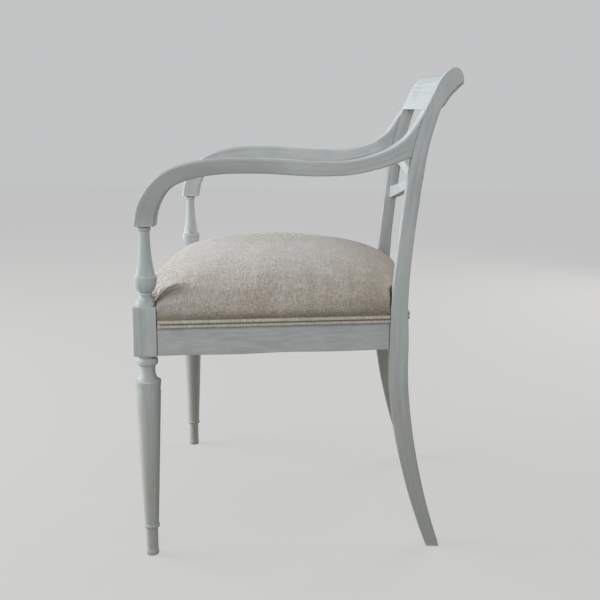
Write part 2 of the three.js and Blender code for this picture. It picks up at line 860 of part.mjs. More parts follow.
// One ring of the seat: inwards is how far inside the cover's face, size 1 is the edge and 0 the
// crown. Where the sides don't bulge, at the hem, the ring is a true rectangle.
function seatRing(size, inwards, bulge) {
  const squarer = (edgeSquareness - crownSquareness) * size ** squarenessPower;
  const squareness = (crownSquareness + squarer) / bulge;
  const cover = gap + clothThickness - inwards;
  const bulges = [seatFrontBulge, seatSideBulge, seatBackBulge];
  const [front, side, back] = bulges.map((b) => cover + bulge * (b - cover - inwards));
  return Array.from({ length: seatPoints }, (_, i) => {
    const [u, v] = squareEdge(i);
    const [x, y] = seatPlace(u, v, front, side, back, squareness);
    return [x * size, seatCrownSetback + (y - seatCrownSetback) * size];
  });
}

// Height of the crown over the edge, fuller towards the back than towards the front
function crownShare(size, y) {
  const power = y < seatCrownSetback ? crownFrontPower : crownBackPower;
  return (1 - size ** power) ** crownFullness;
}

// The stuffed seat's form, with its skirt down to a given height where that is asked
function seatForm(inwards, skirt) {
  const rings = [];
  for (const [z, bulge] of skirt) {
    rings.push(seatRing(1, inwards, bulge).map(([x, y]) => [x, y, z]));
  }
  const crown = railTop + seatCrownRise - inwards - seatEdge;
  for (let k = 0; k < seatRings; k += 1) {
    const size = Math.cos((Math.PI / 2) * (k / seatRings) ** ringBunching);
    const ring = seatRing(size, inwards, 1);
    rings.push(ring.map(([x, y]) => [x, y, seatEdge + crown * crownShare(size, y)]));
  }
  const tip = seatRing(crownTipShare, inwards, 1);
  rings.push(tip.map(([x, y]) => [x, y, seatEdge + crown]));
  return loft(rings);
}

function seatSkirt(low) {
  return [[low, 0], [railTop, 0], [paddingLow, paddingBulgeShare]];
}

function seatPadding() {
  const form = seatForm(clothThickness + gap, [[paddingLow, paddingBulgeShare]]);
  return clearOfLegs(form, clothThickness + 2 * gap);
}

function seatCover() {
  const outside = clearOfLegs(seatForm(0, seatSkirt(hemLow)), gap);
  const hollowForm = seatForm(clothThickness, seatSkirt(hemLow - overrun));
  const wide = frontLegSpacing;
  const belowPadding = box(-wide, -legDistance, hemLow - overrun, wide, 2 * legDistance, paddingLow);
  return outside
    .subtract(clearOfLegs(hollowForm, clothThickness + gap))
    .subtract(hollowForm.intersect(belowPadding));
}

// Double piping: two cords in one strip of linen, with closed round ends
function piping(from, to, outwardX, outwardY) {
  const [start, end] = [new THREE.Vector2(...from), new THREE.Vector2(...to)];
  const length = end.distanceTo(start);
  const high = railTop - pipingTopDrop;
  const stand = gap + clothThickness + gap;
  const half = pipingDepth / 2;
  const farEnd = pipingEndShares.map(([p, s]) => [length / half - p, s]).reverse();
  const stations = [...pipingEndShares, ...farEnd];
  return loft(stations.map(([p, size]) => {
    const middle = start.clone().lerp(end, (p * half) / length);
    return Array.from({ length: pipingSides }, (_, i) => {
      const angle = (2 * Math.PI * i) / pipingSides;
      const waist = 1 - pipingWaistShare * Math.cos(angle) ** pipingWaistPower;
      const out = stand + half + half * size * waist * Math.cos(angle);
      const rise = (pipingHeight / 2) * size * Math.sin(angle);
      return [middle.x + outwardX * out, middle.y + outwardY * out, high - pipingHeight / 2 + rise];
    });
  }));
}

function frontPiping() {
  const end = frontLegX - blockHalf - gap;
  return piping([-end, frontRailFace], [end, frontRailFace], 0, -1);
}

function backPiping() {
  const end = rearLegInner - gap;
  return piping([-end, backRailFace], [end, backRailFace], 0, 1);
}

function sidePiping() {
  const [front, rear] = [blockHalf + gap + pipingEndGap, legDistance - gap - pipingEndGap];
  const slant = Math.hypot(1, sideRailSlope);
  return piping([sideFaceX(front), front], [sideFaceX(rear), rear], 1 / slant, -sideRailSlope / slant);
}

// Finishes

const paint = () => new THREE.MeshStandardMaterial({ color: 0xb4b8ae, roughness: 0.75, metalness: 0 });
const bareWood = () => new THREE.MeshStandardMaterial({ color: 0xa98458, roughness: 0.85, metalness: 0 });
const linen = () => new THREE.MeshStandardMaterial({ color: 0xb3a392, roughness: 0.95, metalness: 0 });
const cord = () => new THREE.MeshStandardMaterial({ color: 0xc9bfae, roughness: 0.9, metalness: 0 });
const jute = () => new THREE.MeshStandardMaterial({ color: 0x9b7d50, roughness: 0.95, metalness: 0 });
const sacking = () => new THREE.MeshStandardMaterial({ color: 0xa98d62, roughness: 0.95, metalness: 0 });
const hair = () => new THREE.MeshStandardMaterial({ color: 0x4a3a2c, roughness: 1, metalness: 0 });
const steel = () => new THREE.MeshStandardMaterial({ color: 0x8b8985, roughness: 0.45, metalness: 0.9 });

// Assembly

const chair = new THREE.Group();
const woodwork = new THREE.Group();
const upholstery = new THREE.Group();
chair.add(woodwork, upholstery);

function place(group, name, geometry, material) {
  const mesh = new THREE.Mesh(geometry, material);
  mesh.name = name;
  group.add(mesh);
}

function placePair(group, name, solid, finish) {
  const geometry = toGeometry(solid);
  place(group, `${name}_left`, geometry, finish());
  place(group, `${name}_right`, mirrored(geometry), finish());
}

placePair(woodwork, 'front_leg', frontLeg(), paint);
placePair(woodwork, 'rear_leg', rearLeg(), paint);
placePair(woodwork, 'arm', arm(), paint);
placePair(woodwork, 'side_rail', sideRail(), paint);
place(woodwork, 'front_rail', toGeometry(frontRail()), paint());
place(woodwork, 'back_rail', toGeometry(backRail()), paint());
place(woodwork, 'crest_rail', toGeometry(crestRail()), paint());
place(woodwork, 'cross_bar_rising', toGeometry(risingCrossBar()), paint());
place(woodwork, 'cross_bar_falling', toGeometry(fallingCrossBar()), paint());
placePair(woodwork, 'corner_block_front', cornerBlock(frontCorner), bareWood);
placePair(woodwork, 'corner_block_rear', cornerBlock(rearCorner), bareWood);
placePair(woodwork, 'corner_screw_front', cornerScrew(frontCorner, 0), steel);
placePair(woodwork, 'corner_screw_rear', cornerScrew(rearCorner, 0), steel);

webbingPlaces.forEach((x, i) => {
  place(upholstery, `webbing_lengthwise_${i + 1}`, toGeometry(lengthwiseStrap(x, i)), jute());
});
crossWebbingPlaces.forEach((y, i) => {
  place(upholstery, `webbing_crosswise_${i + 1}`, toGeometry(crosswiseStrap(y, i)), jute());
});
place(upholstery, 'hessian', toGeometry(hessian()), sacking());
place(upholstery, 'seat_padding', toGeometry(seatPadding()), hair());
place(upholstery, 'seat_cover', toGeometry(seatCover()), linen());
place(upholstery, 'piping_front', toGeometry(frontPiping()), cord());
place(upholstery, 'piping_back', toGeometry(backPiping()), cord());
placePair(upholstery, 'piping_side', sidePiping(), cord);

// The origin is on the floor, under the middle of the chair's box
const extent = new THREE.Box3().setFromObject(chair);
chair.position.y = -(extent.min.y + extent.max.y) / 2;

export default chair;
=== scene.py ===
import math

import bpy
import numpy as np
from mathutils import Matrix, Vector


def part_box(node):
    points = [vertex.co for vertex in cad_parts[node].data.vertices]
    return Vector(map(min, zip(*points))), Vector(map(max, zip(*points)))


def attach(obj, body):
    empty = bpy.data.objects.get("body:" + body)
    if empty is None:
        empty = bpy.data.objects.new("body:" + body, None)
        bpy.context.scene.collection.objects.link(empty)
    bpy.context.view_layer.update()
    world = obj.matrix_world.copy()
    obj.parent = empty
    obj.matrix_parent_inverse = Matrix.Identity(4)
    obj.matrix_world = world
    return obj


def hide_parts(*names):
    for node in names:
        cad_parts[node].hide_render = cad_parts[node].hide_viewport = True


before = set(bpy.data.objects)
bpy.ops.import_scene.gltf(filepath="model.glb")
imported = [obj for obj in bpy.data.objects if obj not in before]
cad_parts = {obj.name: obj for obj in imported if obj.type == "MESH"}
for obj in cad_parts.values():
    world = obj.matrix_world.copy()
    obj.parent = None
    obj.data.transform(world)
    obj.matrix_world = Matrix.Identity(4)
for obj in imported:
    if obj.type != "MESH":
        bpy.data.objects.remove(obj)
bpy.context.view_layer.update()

# Front legs. Each is turned from one square of timber: foot, ankle ring, taper, shoulder and
# collar below the seat's square block, and a baluster above it that carries the arm. They are
# drawn as half profiles, spun as on a lathe, and painted in a thin chalky grey.
rail_low, rail_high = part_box("side_rail_left")
arm_low, arm_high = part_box("arm_left")
leg_low, leg_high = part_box("front_leg_left")
leg_x = (leg_low.x + leg_high.x) / 2
leg_y = (leg_low.y + leg_high.y) / 2
block_size = 0.037
block_rise = 0.009
block_arris = 0.0012
block_top = rail_high.z + block_rise
toe_radius = 0.0104
toe_height = 0.009
foot_radius = 0.0096
foot_arris = 0.0014
ankle_height = 0.048
ankle_width = 0.008
ankle_radius = 0.013
taper_radius = 0.0115
shoulder_radius = 0.0207
shoulder_height = rail_low.z - 0.044
groove_height = rail_low.z - 0.055
groove_depth = 0.0009
cove_radius = 0.0117
cove_height = rail_low.z - 0.0244
collar_radius = 0.0169
collar_waist = 0.0128
collar_top = rail_low.z - 0.004
collar_width = 0.014
baluster_height = arm_low.z - block_top
base_radius = 0.0174
neck_radius = 0.0095
bead_radius = 0.0106
ring_radius = 0.0182
ring_step = 0.0026
waist_radius = 0.0084
top_radius = 0.0104
lathe_steps = 56


class Value:
    """A socket in a material that takes sums and products as Python writes them"""

    def __init__(self, finish, socket):
        self.finish = finish
        self.socket = socket

    def __add__(self, other):
        return self.finish.maths("ADD", self, other)

    __radd__ = __add__

    def __sub__(self, other):
        return self.finish.maths("SUBTRACT", self, other)

    def __rsub__(self, other):
        return self.finish.maths("SUBTRACT", other, self)

    def __mul__(self, other):
        return self.finish.maths("MULTIPLY", self, other)

    __rmul__ = __mul__

    def between(self, low, high):
        """0 below low, 1 above high and a smooth rise between them"""
        settings = {"interpolation_type": "SMOOTHSTEP", "clamp": True}
        sockets = {"Value": self, "From Min": low, "From Max": high}
        return self.finish.node("ShaderNodeMapRange", settings, sockets)


class Finish:
    """A material, or the world, that is put together node by node"""

    def __init__(self, name, kind="materials", shader="Principled BSDF", **constants):
        self.owner = getattr(bpy.data, kind).new(name)
        self.owner.use_nodes = True
        self.tree = self.owner.node_tree
        self.shader = self.tree.nodes[shader]
        for socket, value in constants.items():
            self.shader.inputs[socket.replace("_", " ")].default_value = value

    def feed(self, socket, value):
        if isinstance(value, Value):
            self.tree.links.new(value.socket, socket)
        elif isinstance(value, tuple) and socket.type == "RGBA":
            socket.default_value = (*value, 1)
        else:
            socket.default_value = value

    def node(self, kind, settings, sockets, output=0):
        made = self.tree.nodes.new(kind)
        for name, setting in settings.items():
            setattr(made, name, setting)
        for socket, value in sockets.items():
            self.feed(made.inputs[socket], value)
        return Value(self, made.outputs[output])

    def maths(self, operation, first, second=0.0):
        return self.node("ShaderNodeMath", {"operation": operation}, {0: first, 1: second})

    def blend(self, share, first, second):
        """A colour between two others"""
        return self.node("ShaderNodeMix", {"data_type": "RGBA"}, {0: share, 6: first, 7: second}, 2)

    def noise(self, place, fineness, detail, roughness):
        """Clouds, with one fineness for all directions or one for each"""
        stretch = fineness if isinstance(fineness, tuple) else (fineness,) * 3
        stretched = self.node("ShaderNodeVectorMath", {"operation": "MULTIPLY"}, {0: place, 1: stretch})
        sockets = {"Vector": stretched, "Scale": 1.0, "Detail": detail, "Roughness": roughness}
        return self.node("ShaderNodeTexNoise", {"noise_dimensions": "3D"}, sockets)

    def attribute(self, name, output):
        return self.node("ShaderNodeAttribute", {"attribute_name": name}, {}, output)

    def place(self):
        return self.node("ShaderNodeTexCoord", {}, {}, "Object")

    def axes(self, vector):
        """The three numbers of a vector"""
        numbers = self.node("ShaderNodeSeparateXYZ", {}, {0: vector}).socket.node.outputs
        return [Value(self, number) for number in numbers]

    def hidden(self, distance):
        """How far a place is closed in by what lies within the distance"""
        return 1.0 - self.node("ShaderNodeAmbientOcclusion", {"samples": 8}, {"Distance": distance}, "AO")

    def surface(self, colour, roughness, height, relief):
        """Feeds the shader, with a height that stands relief metres high, and gives the material"""
        bump = self.node("ShaderNodeBump", {}, {"Strength": 1.0, "Distance": relief, "Height": height})
        for socket, value in (("Base Color", colour), ("Roughness", roughness), ("Normal", bump)):
            self.feed(self.shader.inputs[socket], value)
        return self.owner


def chalky_paint():
    """Brushed along the grain, rubbed pale on the arrises with a painted highlight there, dirty and painted
    shade in the joints and hollows, painted shade on the arms' outer sides and lower down, bare at the worst
    wear
    """
    paint = Finish("chalky grey paint", IOR=1.45, Specular_IOR_Level=0.32)
    grain = paint.attribute("grain", "Vector")
    wear = paint.attribute("wear", "Fac")
    streaks = paint.noise(grain, (7, 190, 190), 4.0, 0.6)
    fine = paint.noise(grain, (26, 900, 900), 2.0, 0.5)
    clouds = paint.noise(grain, (14, 34, 34), 3.0, 0.5)
    specks = paint.noise(grain, (150, 420, 420), 2.0, 0.6)
    tone = (streaks * 0.5 + clouds * 0.5).between(0.34, 0.66)
    body = paint.blend(tone, (0.500, 0.530, 0.527), (0.652, 0.684, 0.692))
    greener = paint.blend(clouds.between(0.50, 0.7) * 0.45, body, (0.525, 0.540, 0.465))
    point = paint.node("ShaderNodeNewGeometry", {}, {}, "Pointiness")
    # The arrises are painted pale: paint rubbed through, and a painted highlight along the edges
    arris_wear_and_highlight = point.between(0.515, 0.60) * (0.45 + specks.between(0.35, 0.62) * 0.55)
    wear_dirt_and_painted_light = paint.blend(arris_wear_and_highlight * 0.8, greener, (0.80, 0.80, 0.765))
    # Joints and hollows are painted darker: dirt, and painted shade where shade falls between parts and in
    # hollows
    joints = paint.hidden(0.010).between(0.42, 0.90)
    hollows = (1.0 - point).between(0.515, 0.60)
    dirt_and_shade = joints * 0.78 + hollows * 0.30 * (0.4 + streaks)
    dirtied_and_shaded = paint.blend(dirt_and_shade, wear_dirt_and_painted_light, (0.150, 0.125, 0.090))
    bare = (wear + specks * 0.55 + streaks * 0.35).between(0.98, 1.12)
    wood = paint.blend(fine.between(0.35, 0.65), (0.115, 0.078, 0.045), (0.235, 0.165, 0.100))
    across, back, up = paint.axes(paint.place())
    # Painted shade on the outer sides of the arms, between the seat and the crest
    above_seat = up.between(arm_low.z - 0.03, arm_low.z + 0.03)
    below_crest = 1.0 - up.between(arm_high.z - 0.10, arm_high.z - 0.04)
    outer = paint.maths("ABSOLUTE", across).between(leg_x - 0.010, leg_x + 0.003)
    arm_side_painted_shade = above_seat * below_crest * outer * (1.0 - back.between(0.04, 0.14))
    # Painted shade lower down: the paint is darker and yellower towards the floor, in clouds
    low_down = (1.0 - up.between(0.10, rail_high.z)) * (0.20 + clouds * 0.42)
    low_parts_shaded = paint.blend(low_down, dirtied_and_shaded, (0.375, 0.366, 0.300))
    arm_sides_shaded = paint.blend(arm_side_painted_shade * 0.58, low_parts_shaded, (0.330, 0.345, 0.325))
    colour = paint.blend(bare, arm_sides_shaded, wood)
    roughness = 0.56 + streaks * 0.16 + bare * 0.18
    return paint.surface(colour, roughness, streaks * 0.55 + fine * 0.25 - bare * 0.8, 0.00035)


paint_finish = chalky_paint()


def half_round(waist, radius, low, high):
    """A bead of the profile, as radii and heights"""
    turns = [math.pi * i / 8 for i in range(9)]
    middle, half = (low + high) / 2, (high - low) / 2
    return [(waist + (radius - waist) * math.sin(a), middle - half * math.cos(a)) for a in turns]


def hollow(start, low, end, high):
    """A quarter hollow of the profile that turns inwards as it climbs"""
    turns = [math.pi * i / 16 for i in range(9)]
    return [(start + (end - start) * math.sin(a), low + (high - low) * (1 - math.cos(a))) for a in turns]


def smooth_through(points, steps):
    """Points on a curve that passes through each given point, steps to a stretch"""
    known = np.array(points, float)
    ends = np.vstack([2 * known[0] - known[1], known, 2 * known[-1] - known[-2]])
    made = []
    for a, b, c, d in zip(ends, ends[1:], ends[2:], ends[3:]):
        for t in np.arange(steps) / steps:
            made.append(b + t * (c - a + t * (2 * a - 5 * b + 4 * c - d + t * (3 * (b - c) + d - a))) / 2)
    return [tuple(p) for p in made] + [tuple(known[-1])]


def named(name):
    """The piece that was just added, under its name"""
    piece = bpy.context.object
    piece.name = name
    return piece


def draw_line(name, points):
    """Starts a piece as one vertex and draws it out through the points, in edit mode"""
    bpy.ops.object.select_all(action="DESELECT")
    bpy.ops.mesh.primitive_plane_add(size=0.01, location=points[0])
    piece = named(name)
    bpy.ops.object.mode_set(mode="EDIT")
    bpy.ops.mesh.select_mode(type="VERT")
    bpy.ops.mesh.merge(type="CENTER")
    for before, after in zip(points, points[1:]):
        step = [b - a for a, b in zip(before, after)]
        bpy.ops.mesh.extrude_vertices_move(TRANSFORM_OT_translate={"value": step})
    return piece


def select_only(*pieces):
    bpy.ops.object.select_all(action="DESELECT")
    for piece in pieces:
        piece.select_set(True)
    bpy.context.view_layer.objects.active = pieces[0]


def settle(piece, angle=35):
    """Leaves edit mode with the faces outwards, the place in the mesh and smooth shading"""
    bpy.ops.object.mode_set(mode="EDIT")
    bpy.ops.mesh.select_all(action="SELECT")
    bpy.ops.mesh.remove_doubles(threshold=1e-6)
    bpy.ops.mesh.normals_make_consistent(inside=False)
    bpy.ops.object.mode_set(mode="OBJECT")
    select_only(piece)
    bpy.ops.object.transform_apply(location=True, rotation=True, scale=True)
    bpy.ops.object.shade_smooth_by_angle(angle=math.radians(angle))


def copy_across(piece, name):
    """The same piece for the sitter's other side"""
    select_only(piece)
    bpy.ops.object.duplicate()
    twin = named(name)
    twin.scale.x = -1
    bpy.ops.object.transform_apply(scale=True)
    settle(twin)
    return twin


def store(piece, name, kind, values):
    """Keeps a value or a vector on each vertex for the materials"""
    field = "vector" if kind == "FLOAT_VECTOR" else "value"
    layer = piece.data.attributes.new(name, kind, "POINT")
    layer.data.foreach_set(field, np.array(values, np.float32).ravel())


def stand_for(piece, finish, slot, *nodes):
    """Gives a piece its finish and puts it in the place of the frame's nodes; the slot is not used"""
    piece.data.materials.clear()
    piece.data.materials.append(finish)
    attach(piece, "root")
    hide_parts(*nodes)


def paint_wood(piece, node, straighten, start, worn=None):
    """Stores where each vertex lay in the straight timber, grain first, and how worn it is"""
    points = [v.co.copy() for v in piece.data.vertices]
    store(piece, "grain", "FLOAT_VECTOR", [np.add(straighten(p), (start, start, 0)) for p in points])
    store(piece, "wear", "FLOAT", [worn(p) if worn else 0.0 for p in points])
    stand_for(piece, paint_finish, "painted_wood", node)


def ease_edges(offset, segments):
    """Breaks the sharp edges of the piece that is being edited"""
    bpy.ops.mesh.select_all(action="DESELECT")
    bpy.ops.mesh.select_mode(type="EDGE")
    bpy.ops.mesh.edges_select_sharp(sharpness=math.radians(60))
    bpy.ops.mesh.bevel(offset=offset, segments=segments)


def turn_on_lathe(name, profile):
    piece = draw_line(name, [(leg_x + r, leg_y, z) for r, z in profile])
    bpy.ops.mesh.select_all(action="SELECT")
    bpy.ops.mesh.spin(steps=lathe_steps, angle=math.tau, center=(leg_x, leg_y, 0), axis=(0, 0, 1))
    settle(piece)
    return piece


taper_slope = (shoulder_radius - taper_radius) / (shoulder_height - ankle_height - ankle_width)
taper = [
    (taper_radius + taper_slope * (z - ankle_height - ankle_width), z)
    for z in np.linspace(ankle_height + ankle_width, shoulder_height, 42)
]
groove = [(r - groove_depth if abs(z - groove_height) < 0.0035 else r, z) for r, z in taper]
lower_turning = [
    (0, 0),
    (toe_radius - foot_arris, 0),
    (toe_radius - foot_arris * 0.3, foot_arris * 0.3),
    (toe_radius, foot_arris),
    (toe_radius, toe_height - foot_arris),
    (toe_radius - foot_arris * 0.3, toe_height - foot_arris * 0.4),
    (foot_radius, toe_height),
    *[(foot_radius, z) for z in np.linspace(toe_height, ankle_height, 8)[1:]],
    *half_round(
        2 * taper_radius - ankle_radius, ankle_radius, ankle_height, ankle_height + ankle_width
    )[1:-1],
    *groove,
    (shoulder_radius, shoulder_height + 0.0006),
    *hollow(shoulder_radius - foot_arris, shoulder_height + foot_arris, cove_radius, cove_height),
    *half_round(collar_waist, collar_radius, collar_top - collar_width, collar_top),
    (collar_waist, rail_low.z + 0.001),
    (0, rail_low.z + 0.001),
]


def up(share):
    return block_top + share * baluster_height


# Each curve is given by shares of the baluster's height, with the radius there
flare = [(base_radius, 0.012), (0.0169, 0.031), (0.0138, 0.068), (0.0108, 0.093), (neck_radius, 0.118)]
bulb = [(neck_radius, 0.161), (0.0117, 0.18), (0.0135, 0.2), (0.0155, 0.229), (0.0169, 0.26),
        (0.0178, 0.291), (ring_radius - 0.0001, 0.326)]
body = [(ring_radius - ring_step, 0.377), (0.0137, 0.44), (0.0120, 0.526), (0.0107, 0.6), (0.0097, 0.687),
        (0.0088, 0.811), (waist_radius, 0.91)]
baluster = [
    (0, block_top - 0.001),
    (base_radius, block_top - 0.001),
    *[(r, up(z)) for r, z in smooth_through(flare, 5)],
    *half_round(neck_radius, bead_radius, up(0.127), up(0.159)),
    *[(r, up(z)) for r, z in smooth_through(bulb, 5)],
    (ring_radius - 0.0006, up(0.329)),
    (ring_radius, up(0.333)),
    (ring_radius + 0.0002, up(0.352)),
    (ring_radius, up(0.370)),
    (ring_radius - 0.0005, up(0.374)),
    *[(r, up(z)) for r, z in smooth_through(body, 5)],
    (waist_radius, up(0.93)),
    *half_round(waist_radius, top_radius, up(0.936), up(0.986)),
    (waist_radius, arm_low.z + 0.0005),
    (0, arm_low.z + 0.0005),
]

leg_left = turn_on_lathe("leg_front_left", lower_turning)
baluster_left = turn_on_lathe("baluster_left", baluster)
bpy.ops.object.select_all(action="DESELECT")
block_middle = (leg_x, leg_y, (rail_low.z + block_top) / 2)
bpy.ops.mesh.primitive_cube_add(size=1, location=block_middle)
block_left = named("block_left")
bpy.ops.object.mode_set(mode="EDIT")
block_form = (block_size, block_size, block_top - rail_low.z)
bpy.ops.transform.resize(value=block_form, center_override=block_middle)
bpy.ops.mesh.subdivide(number_cuts=11)
ease_edges(block_arris, 3)
settle(block_left)
select_only(leg_left, baluster_left, block_left)
bpy.ops.object.join()
leg_right = copy_across(leg_left, "leg_front_right")


def foot_wear(p):
    """The paint is gone round the foot, and rubbed at the block's corners"""
    foot = max(0.0, 1 - p.z / 0.03) * 0.42
    off_middle = abs(abs(p.x) - leg_x) + abs(p.y - leg_y)
    corner = off_middle > block_size * 0.94 and rail_low.z < p.z < block_top
    return foot + 0.12 * corner


for piece, side, start in ((leg_left, "left", 0.0), (leg_right, "right", 3.1)):
    paint_wood(piece, f"front_leg_{side}", lambda p: (p.z, p.x, p.y), start, foot_wear)

# Rear legs. Each is sawn from a plank in one sweep: curved back to the floor, upright past the
# seat, leaning back above it and rolled over into a small scroll. A section is drawn out along the
# sweep, and its arrises are eased by hand.
rear_low, rear_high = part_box("rear_leg_left")
rear_x = (rear_low.x + rear_high.x) / 2
rear_width = rear_high.x - rear_low.x
rear_front = rear_low.y
rear_depth = 0.031
foot_depth = 0.022
post_depth = 0.0235
foot_setback = 0.073
sweep_height = rail_low.z - 0.019
post_lean = 0.044
scroll_rise = 0.062
scroll_reach = 0.0568
crest_foot = rear_high.z - scroll_rise
lean_shares = [(0, 0), (0.14, 0.092), (0.45, 0.295), (0.75, 0.553), (0.9, 0.78), (1, 1)]
lean_curve = smooth_through(lean_shares, 12)


def post_front(z):
    """How far the leg's front edge stands behind its place at the seat"""
    if z < sweep_height:
        return foot_setback * ((sweep_height - z) / sweep_height) ** 1.8
    shares = np.array(lean_curve)
    climbed = (z - rail_high.z) / (crest_foot - rail_high.z)
    return post_lean * float(np.interp(climbed, shares[:, 0], shares[:, 1]))


def smooth_rise(share):
    """From 0 to 1, slow at both ends"""
    share = min(max(share, 0.0), 1.0)
    return share * share * (3 - 2 * share)


def post_thickness(z):
    if z < rail_low.z:
        swell = min(z / (rail_low.z - 0.071), 1)
        return foot_depth + (rear_depth - foot_depth) * math.sin(math.pi / 2 * swell)
    thinned = smooth_rise((z - rail_low.z) / (rail_high.z + 0.082 - rail_low.z))
    return rear_depth + (post_depth - rear_depth) * thinned


def on_scroll(back, up):
    """A place on the scroll, from shares of its reach and rise"""
    return (rear_front + post_lean + back * scroll_reach, crest_foot + up * scroll_rise)


def draw_section(name, middle, width, depth, ease, crown=0.0):
    """A flat end of timber with eased corners and a crowned front side, in edit mode"""
    bpy.ops.object.select_all(action="DESELECT")
    bpy.ops.mesh.primitive_plane_add(size=1, location=middle)
    piece = named(name)
    bpy.ops.object.mode_set(mode="EDIT")
    bpy.ops.transform.resize(value=(width, depth, 1), center_override=middle)
    bpy.ops.mesh.subdivide(number_cuts=9)
    bpy.ops.mesh.select_all(action="DESELECT")
    bpy.ops.object.mode_set(mode="OBJECT")
    for vertex in piece.data.vertices:
        vertex.select = bool(abs(vertex.co.x) > width * 0.499 and abs(vertex.co.y) > depth * 0.499)
    bpy.ops.object.mode_set(mode="EDIT")
    bpy.ops.mesh.select_mode(type="VERT")
    bpy.ops.mesh.bevel(offset=ease, segments=3, affect="VERTICES")
    bpy.ops.object.mode_set(mode="OBJECT")
    for vertex in piece.data.vertices:
        forward = max(0.0, -2 * vertex.co.y / depth)
        vertex.co.y -= crown * forward * (1 - (2 * vertex.co.x / width) ** 2)
    bpy.ops.object.mode_set(mode="EDIT")
    bpy.ops.mesh.select_all(action="SELECT")
    return piece


def draw_out(stations):
    """Draws the selected end through stations of x, y, z, width, depth and tilt"""
    for before, after in zip(stations, stations[1:]):
        middle = after[:3]
        step = [b - a for a, b in zip(before[:3], middle)]
        bpy.ops.mesh.extrude_region_move(TRANSFORM_OT_translate={"value": step})
        c, s = math.cos(before[5]), math.sin(before[5])
        bpy.ops.transform.resize(
            value=(after[3] / before[3], after[4] / before[4], 1),
            orient_type="GLOBAL",
            orient_matrix=((1, 0, 0), (0, c, s), (0, -s, c)),
            orient_matrix_type="GLOBAL",
            center_override=middle,
        )
        if abs(after[5] - before[5]) > 1e-7:
            bpy.ops.transform.rotate(value=before[5] - after[5], orient_axis="X", center_override=middle)


def station(x, width, near, far):
    """A station whose section runs from a near to a far point, each given as y and z"""
    across = (far[0] - near[0], far[1] - near[1])
    tilt = math.atan2(across[1], across[0])
    return (x, (near[0] + far[0]) / 2, (near[1] + far[1]) / 2, width, math.hypot(*across), tilt)


# Each pair is a point of the scroll's front and one of its back, as shares of its reach and rise
scroll_pairs = [
    (0, 0, 0.414, 0), (0.06, 0.118, 0.47, 0.085), (0.12, 0.235, 0.528, 0.17), (0.18, 0.352, 0.59, 0.262),
    (0.245, 0.482, 0.65, 0.345), (0.315, 0.62, 0.705, 0.405), (0.385, 0.745, 0.76, 0.455),
    (0.461, 0.83, 0.81, 0.50), (0.54, 0.905, 0.85, 0.54), (0.63, 0.968, 0.89, 0.575),
    (0.72, 1.0, 0.925, 0.605), (0.819, 0.987, 0.955, 0.63), (0.90, 0.935, 0.975, 0.645),
    (0.955, 0.85, 0.99, 0.66), (0.985, 0.77, 0.998, 0.675),
]
rear_heights = [*np.linspace(0, sweep_height, 30), *np.linspace(sweep_height, crest_foot, 38)[1:-1]]
rear_stations = []
for z in rear_heights:
    face = rear_front + post_front(z)
    rear_stations.append(station(rear_x, rear_width, (face, z), (face + post_thickness(z), z)))
for near_y, near_z, far_y, far_z in smooth_through(scroll_pairs, 2):
    rear_stations.append(station(rear_x, rear_width, on_scroll(near_y, near_z), on_scroll(far_y, far_z)))

rear_left = draw_section("leg_rear_left", rear_stations[0][:3], rear_width, foot_depth, 0.0015)
draw_out(rear_stations)
settle(rear_left, 50)
rear_right = copy_across(rear_left, "leg_rear_right")


def rear_wear(p):
    """Bare at the foot, and chipped at the scroll's end"""
    foot = max(0.0, 1 - p.z / 0.04) * 0.45
    tip_y, tip_z = on_scroll(1, 1)
    tip = max(0.0, 1 - math.hypot(p.y - tip_y, p.z - tip_z + 0.014) / 0.012) * 0.42
    return foot + tip


for piece, side, start in ((rear_left, "left", 5.3), (rear_right, "right", 7.7)):
    paint_wood(piece, f"rear_leg_{side}", lambda p: (p.z, p.x, p.y - post_front(p.z)), start, rear_wear)

# Arms. Each curves up from the baluster, runs back with a slight bow and dip, and sweeps up into
# the post, where it ends in a tenoned joint. The top is crowned, and all the edges are eased.
arm_depth = 0.024
arm_front_width = 0.031
arm_bow = 0.012
arm_crown = 0.0027
arm_ease = 0.0032
arm_rise = 0.093
leg_distance = rear_front - leg_y
arm_along = [0.004, 0.022, 0.074, 0.151, 0.279, 0.462, 0.667, 0.821, 0.941, 1.021, 1.085, 1.154]
arm_heights = [0, 0.339, 0.673, 0.86, 0.974, 0.992, 0.949, 0.968, 1.085, 1.228, 1.408, 1.76]
arm_depths = [1.33, 1.26, 1.06, 1.01, 0.93, 0.88, 0.9, 0.88, 0.95, 1.146, 1.5, 1.833]
joint_gap = 0.0003
arm_line = smooth_through(
    [(leg_y + a * leg_distance, arm_low.z + h * arm_rise, d * arm_depth)
     for a, h, d in zip(arm_along, arm_heights, arm_depths)],
    7,
)


def arm_x(y):
    share = min(max((y - leg_y) / leg_distance, 0), 1)
    return leg_x + (rear_x - leg_x) * share + arm_bow * 4 * share * (1 - share)


arm_stations = []
for i, (y, z, depth) in enumerate(arm_line):
    before = arm_line[max(i - 1, 0)]
    after = arm_line[min(i + 1, len(arm_line) - 1)]
    heading = math.pi / 2 if i == 0 else math.atan2(after[1] - before[1], after[0] - before[0])
    width = arm_front_width + (rear_width - arm_front_width) * min((y - leg_y) / leg_distance, 1)
    arm_stations.append((arm_x(y), y, z, width, depth, heading - math.pi / 2))

arm_left = draw_section(
    "arm_left_piece", arm_stations[0][:3], arm_front_width, arm_stations[0][4], arm_ease, arm_crown
)
draw_out(arm_stations)
settle(arm_left, 50)


def apply_modifier(piece, kind, **settings):
    """Makes the modifier's result the mesh of a piece that is selected"""
    modifier = piece.modifiers.new(kind.lower(), kind)
    for name, setting in settings.items():
        setattr(modifier, name, setting)
    bpy.ops.object.modifier_apply(modifier=modifier.name)


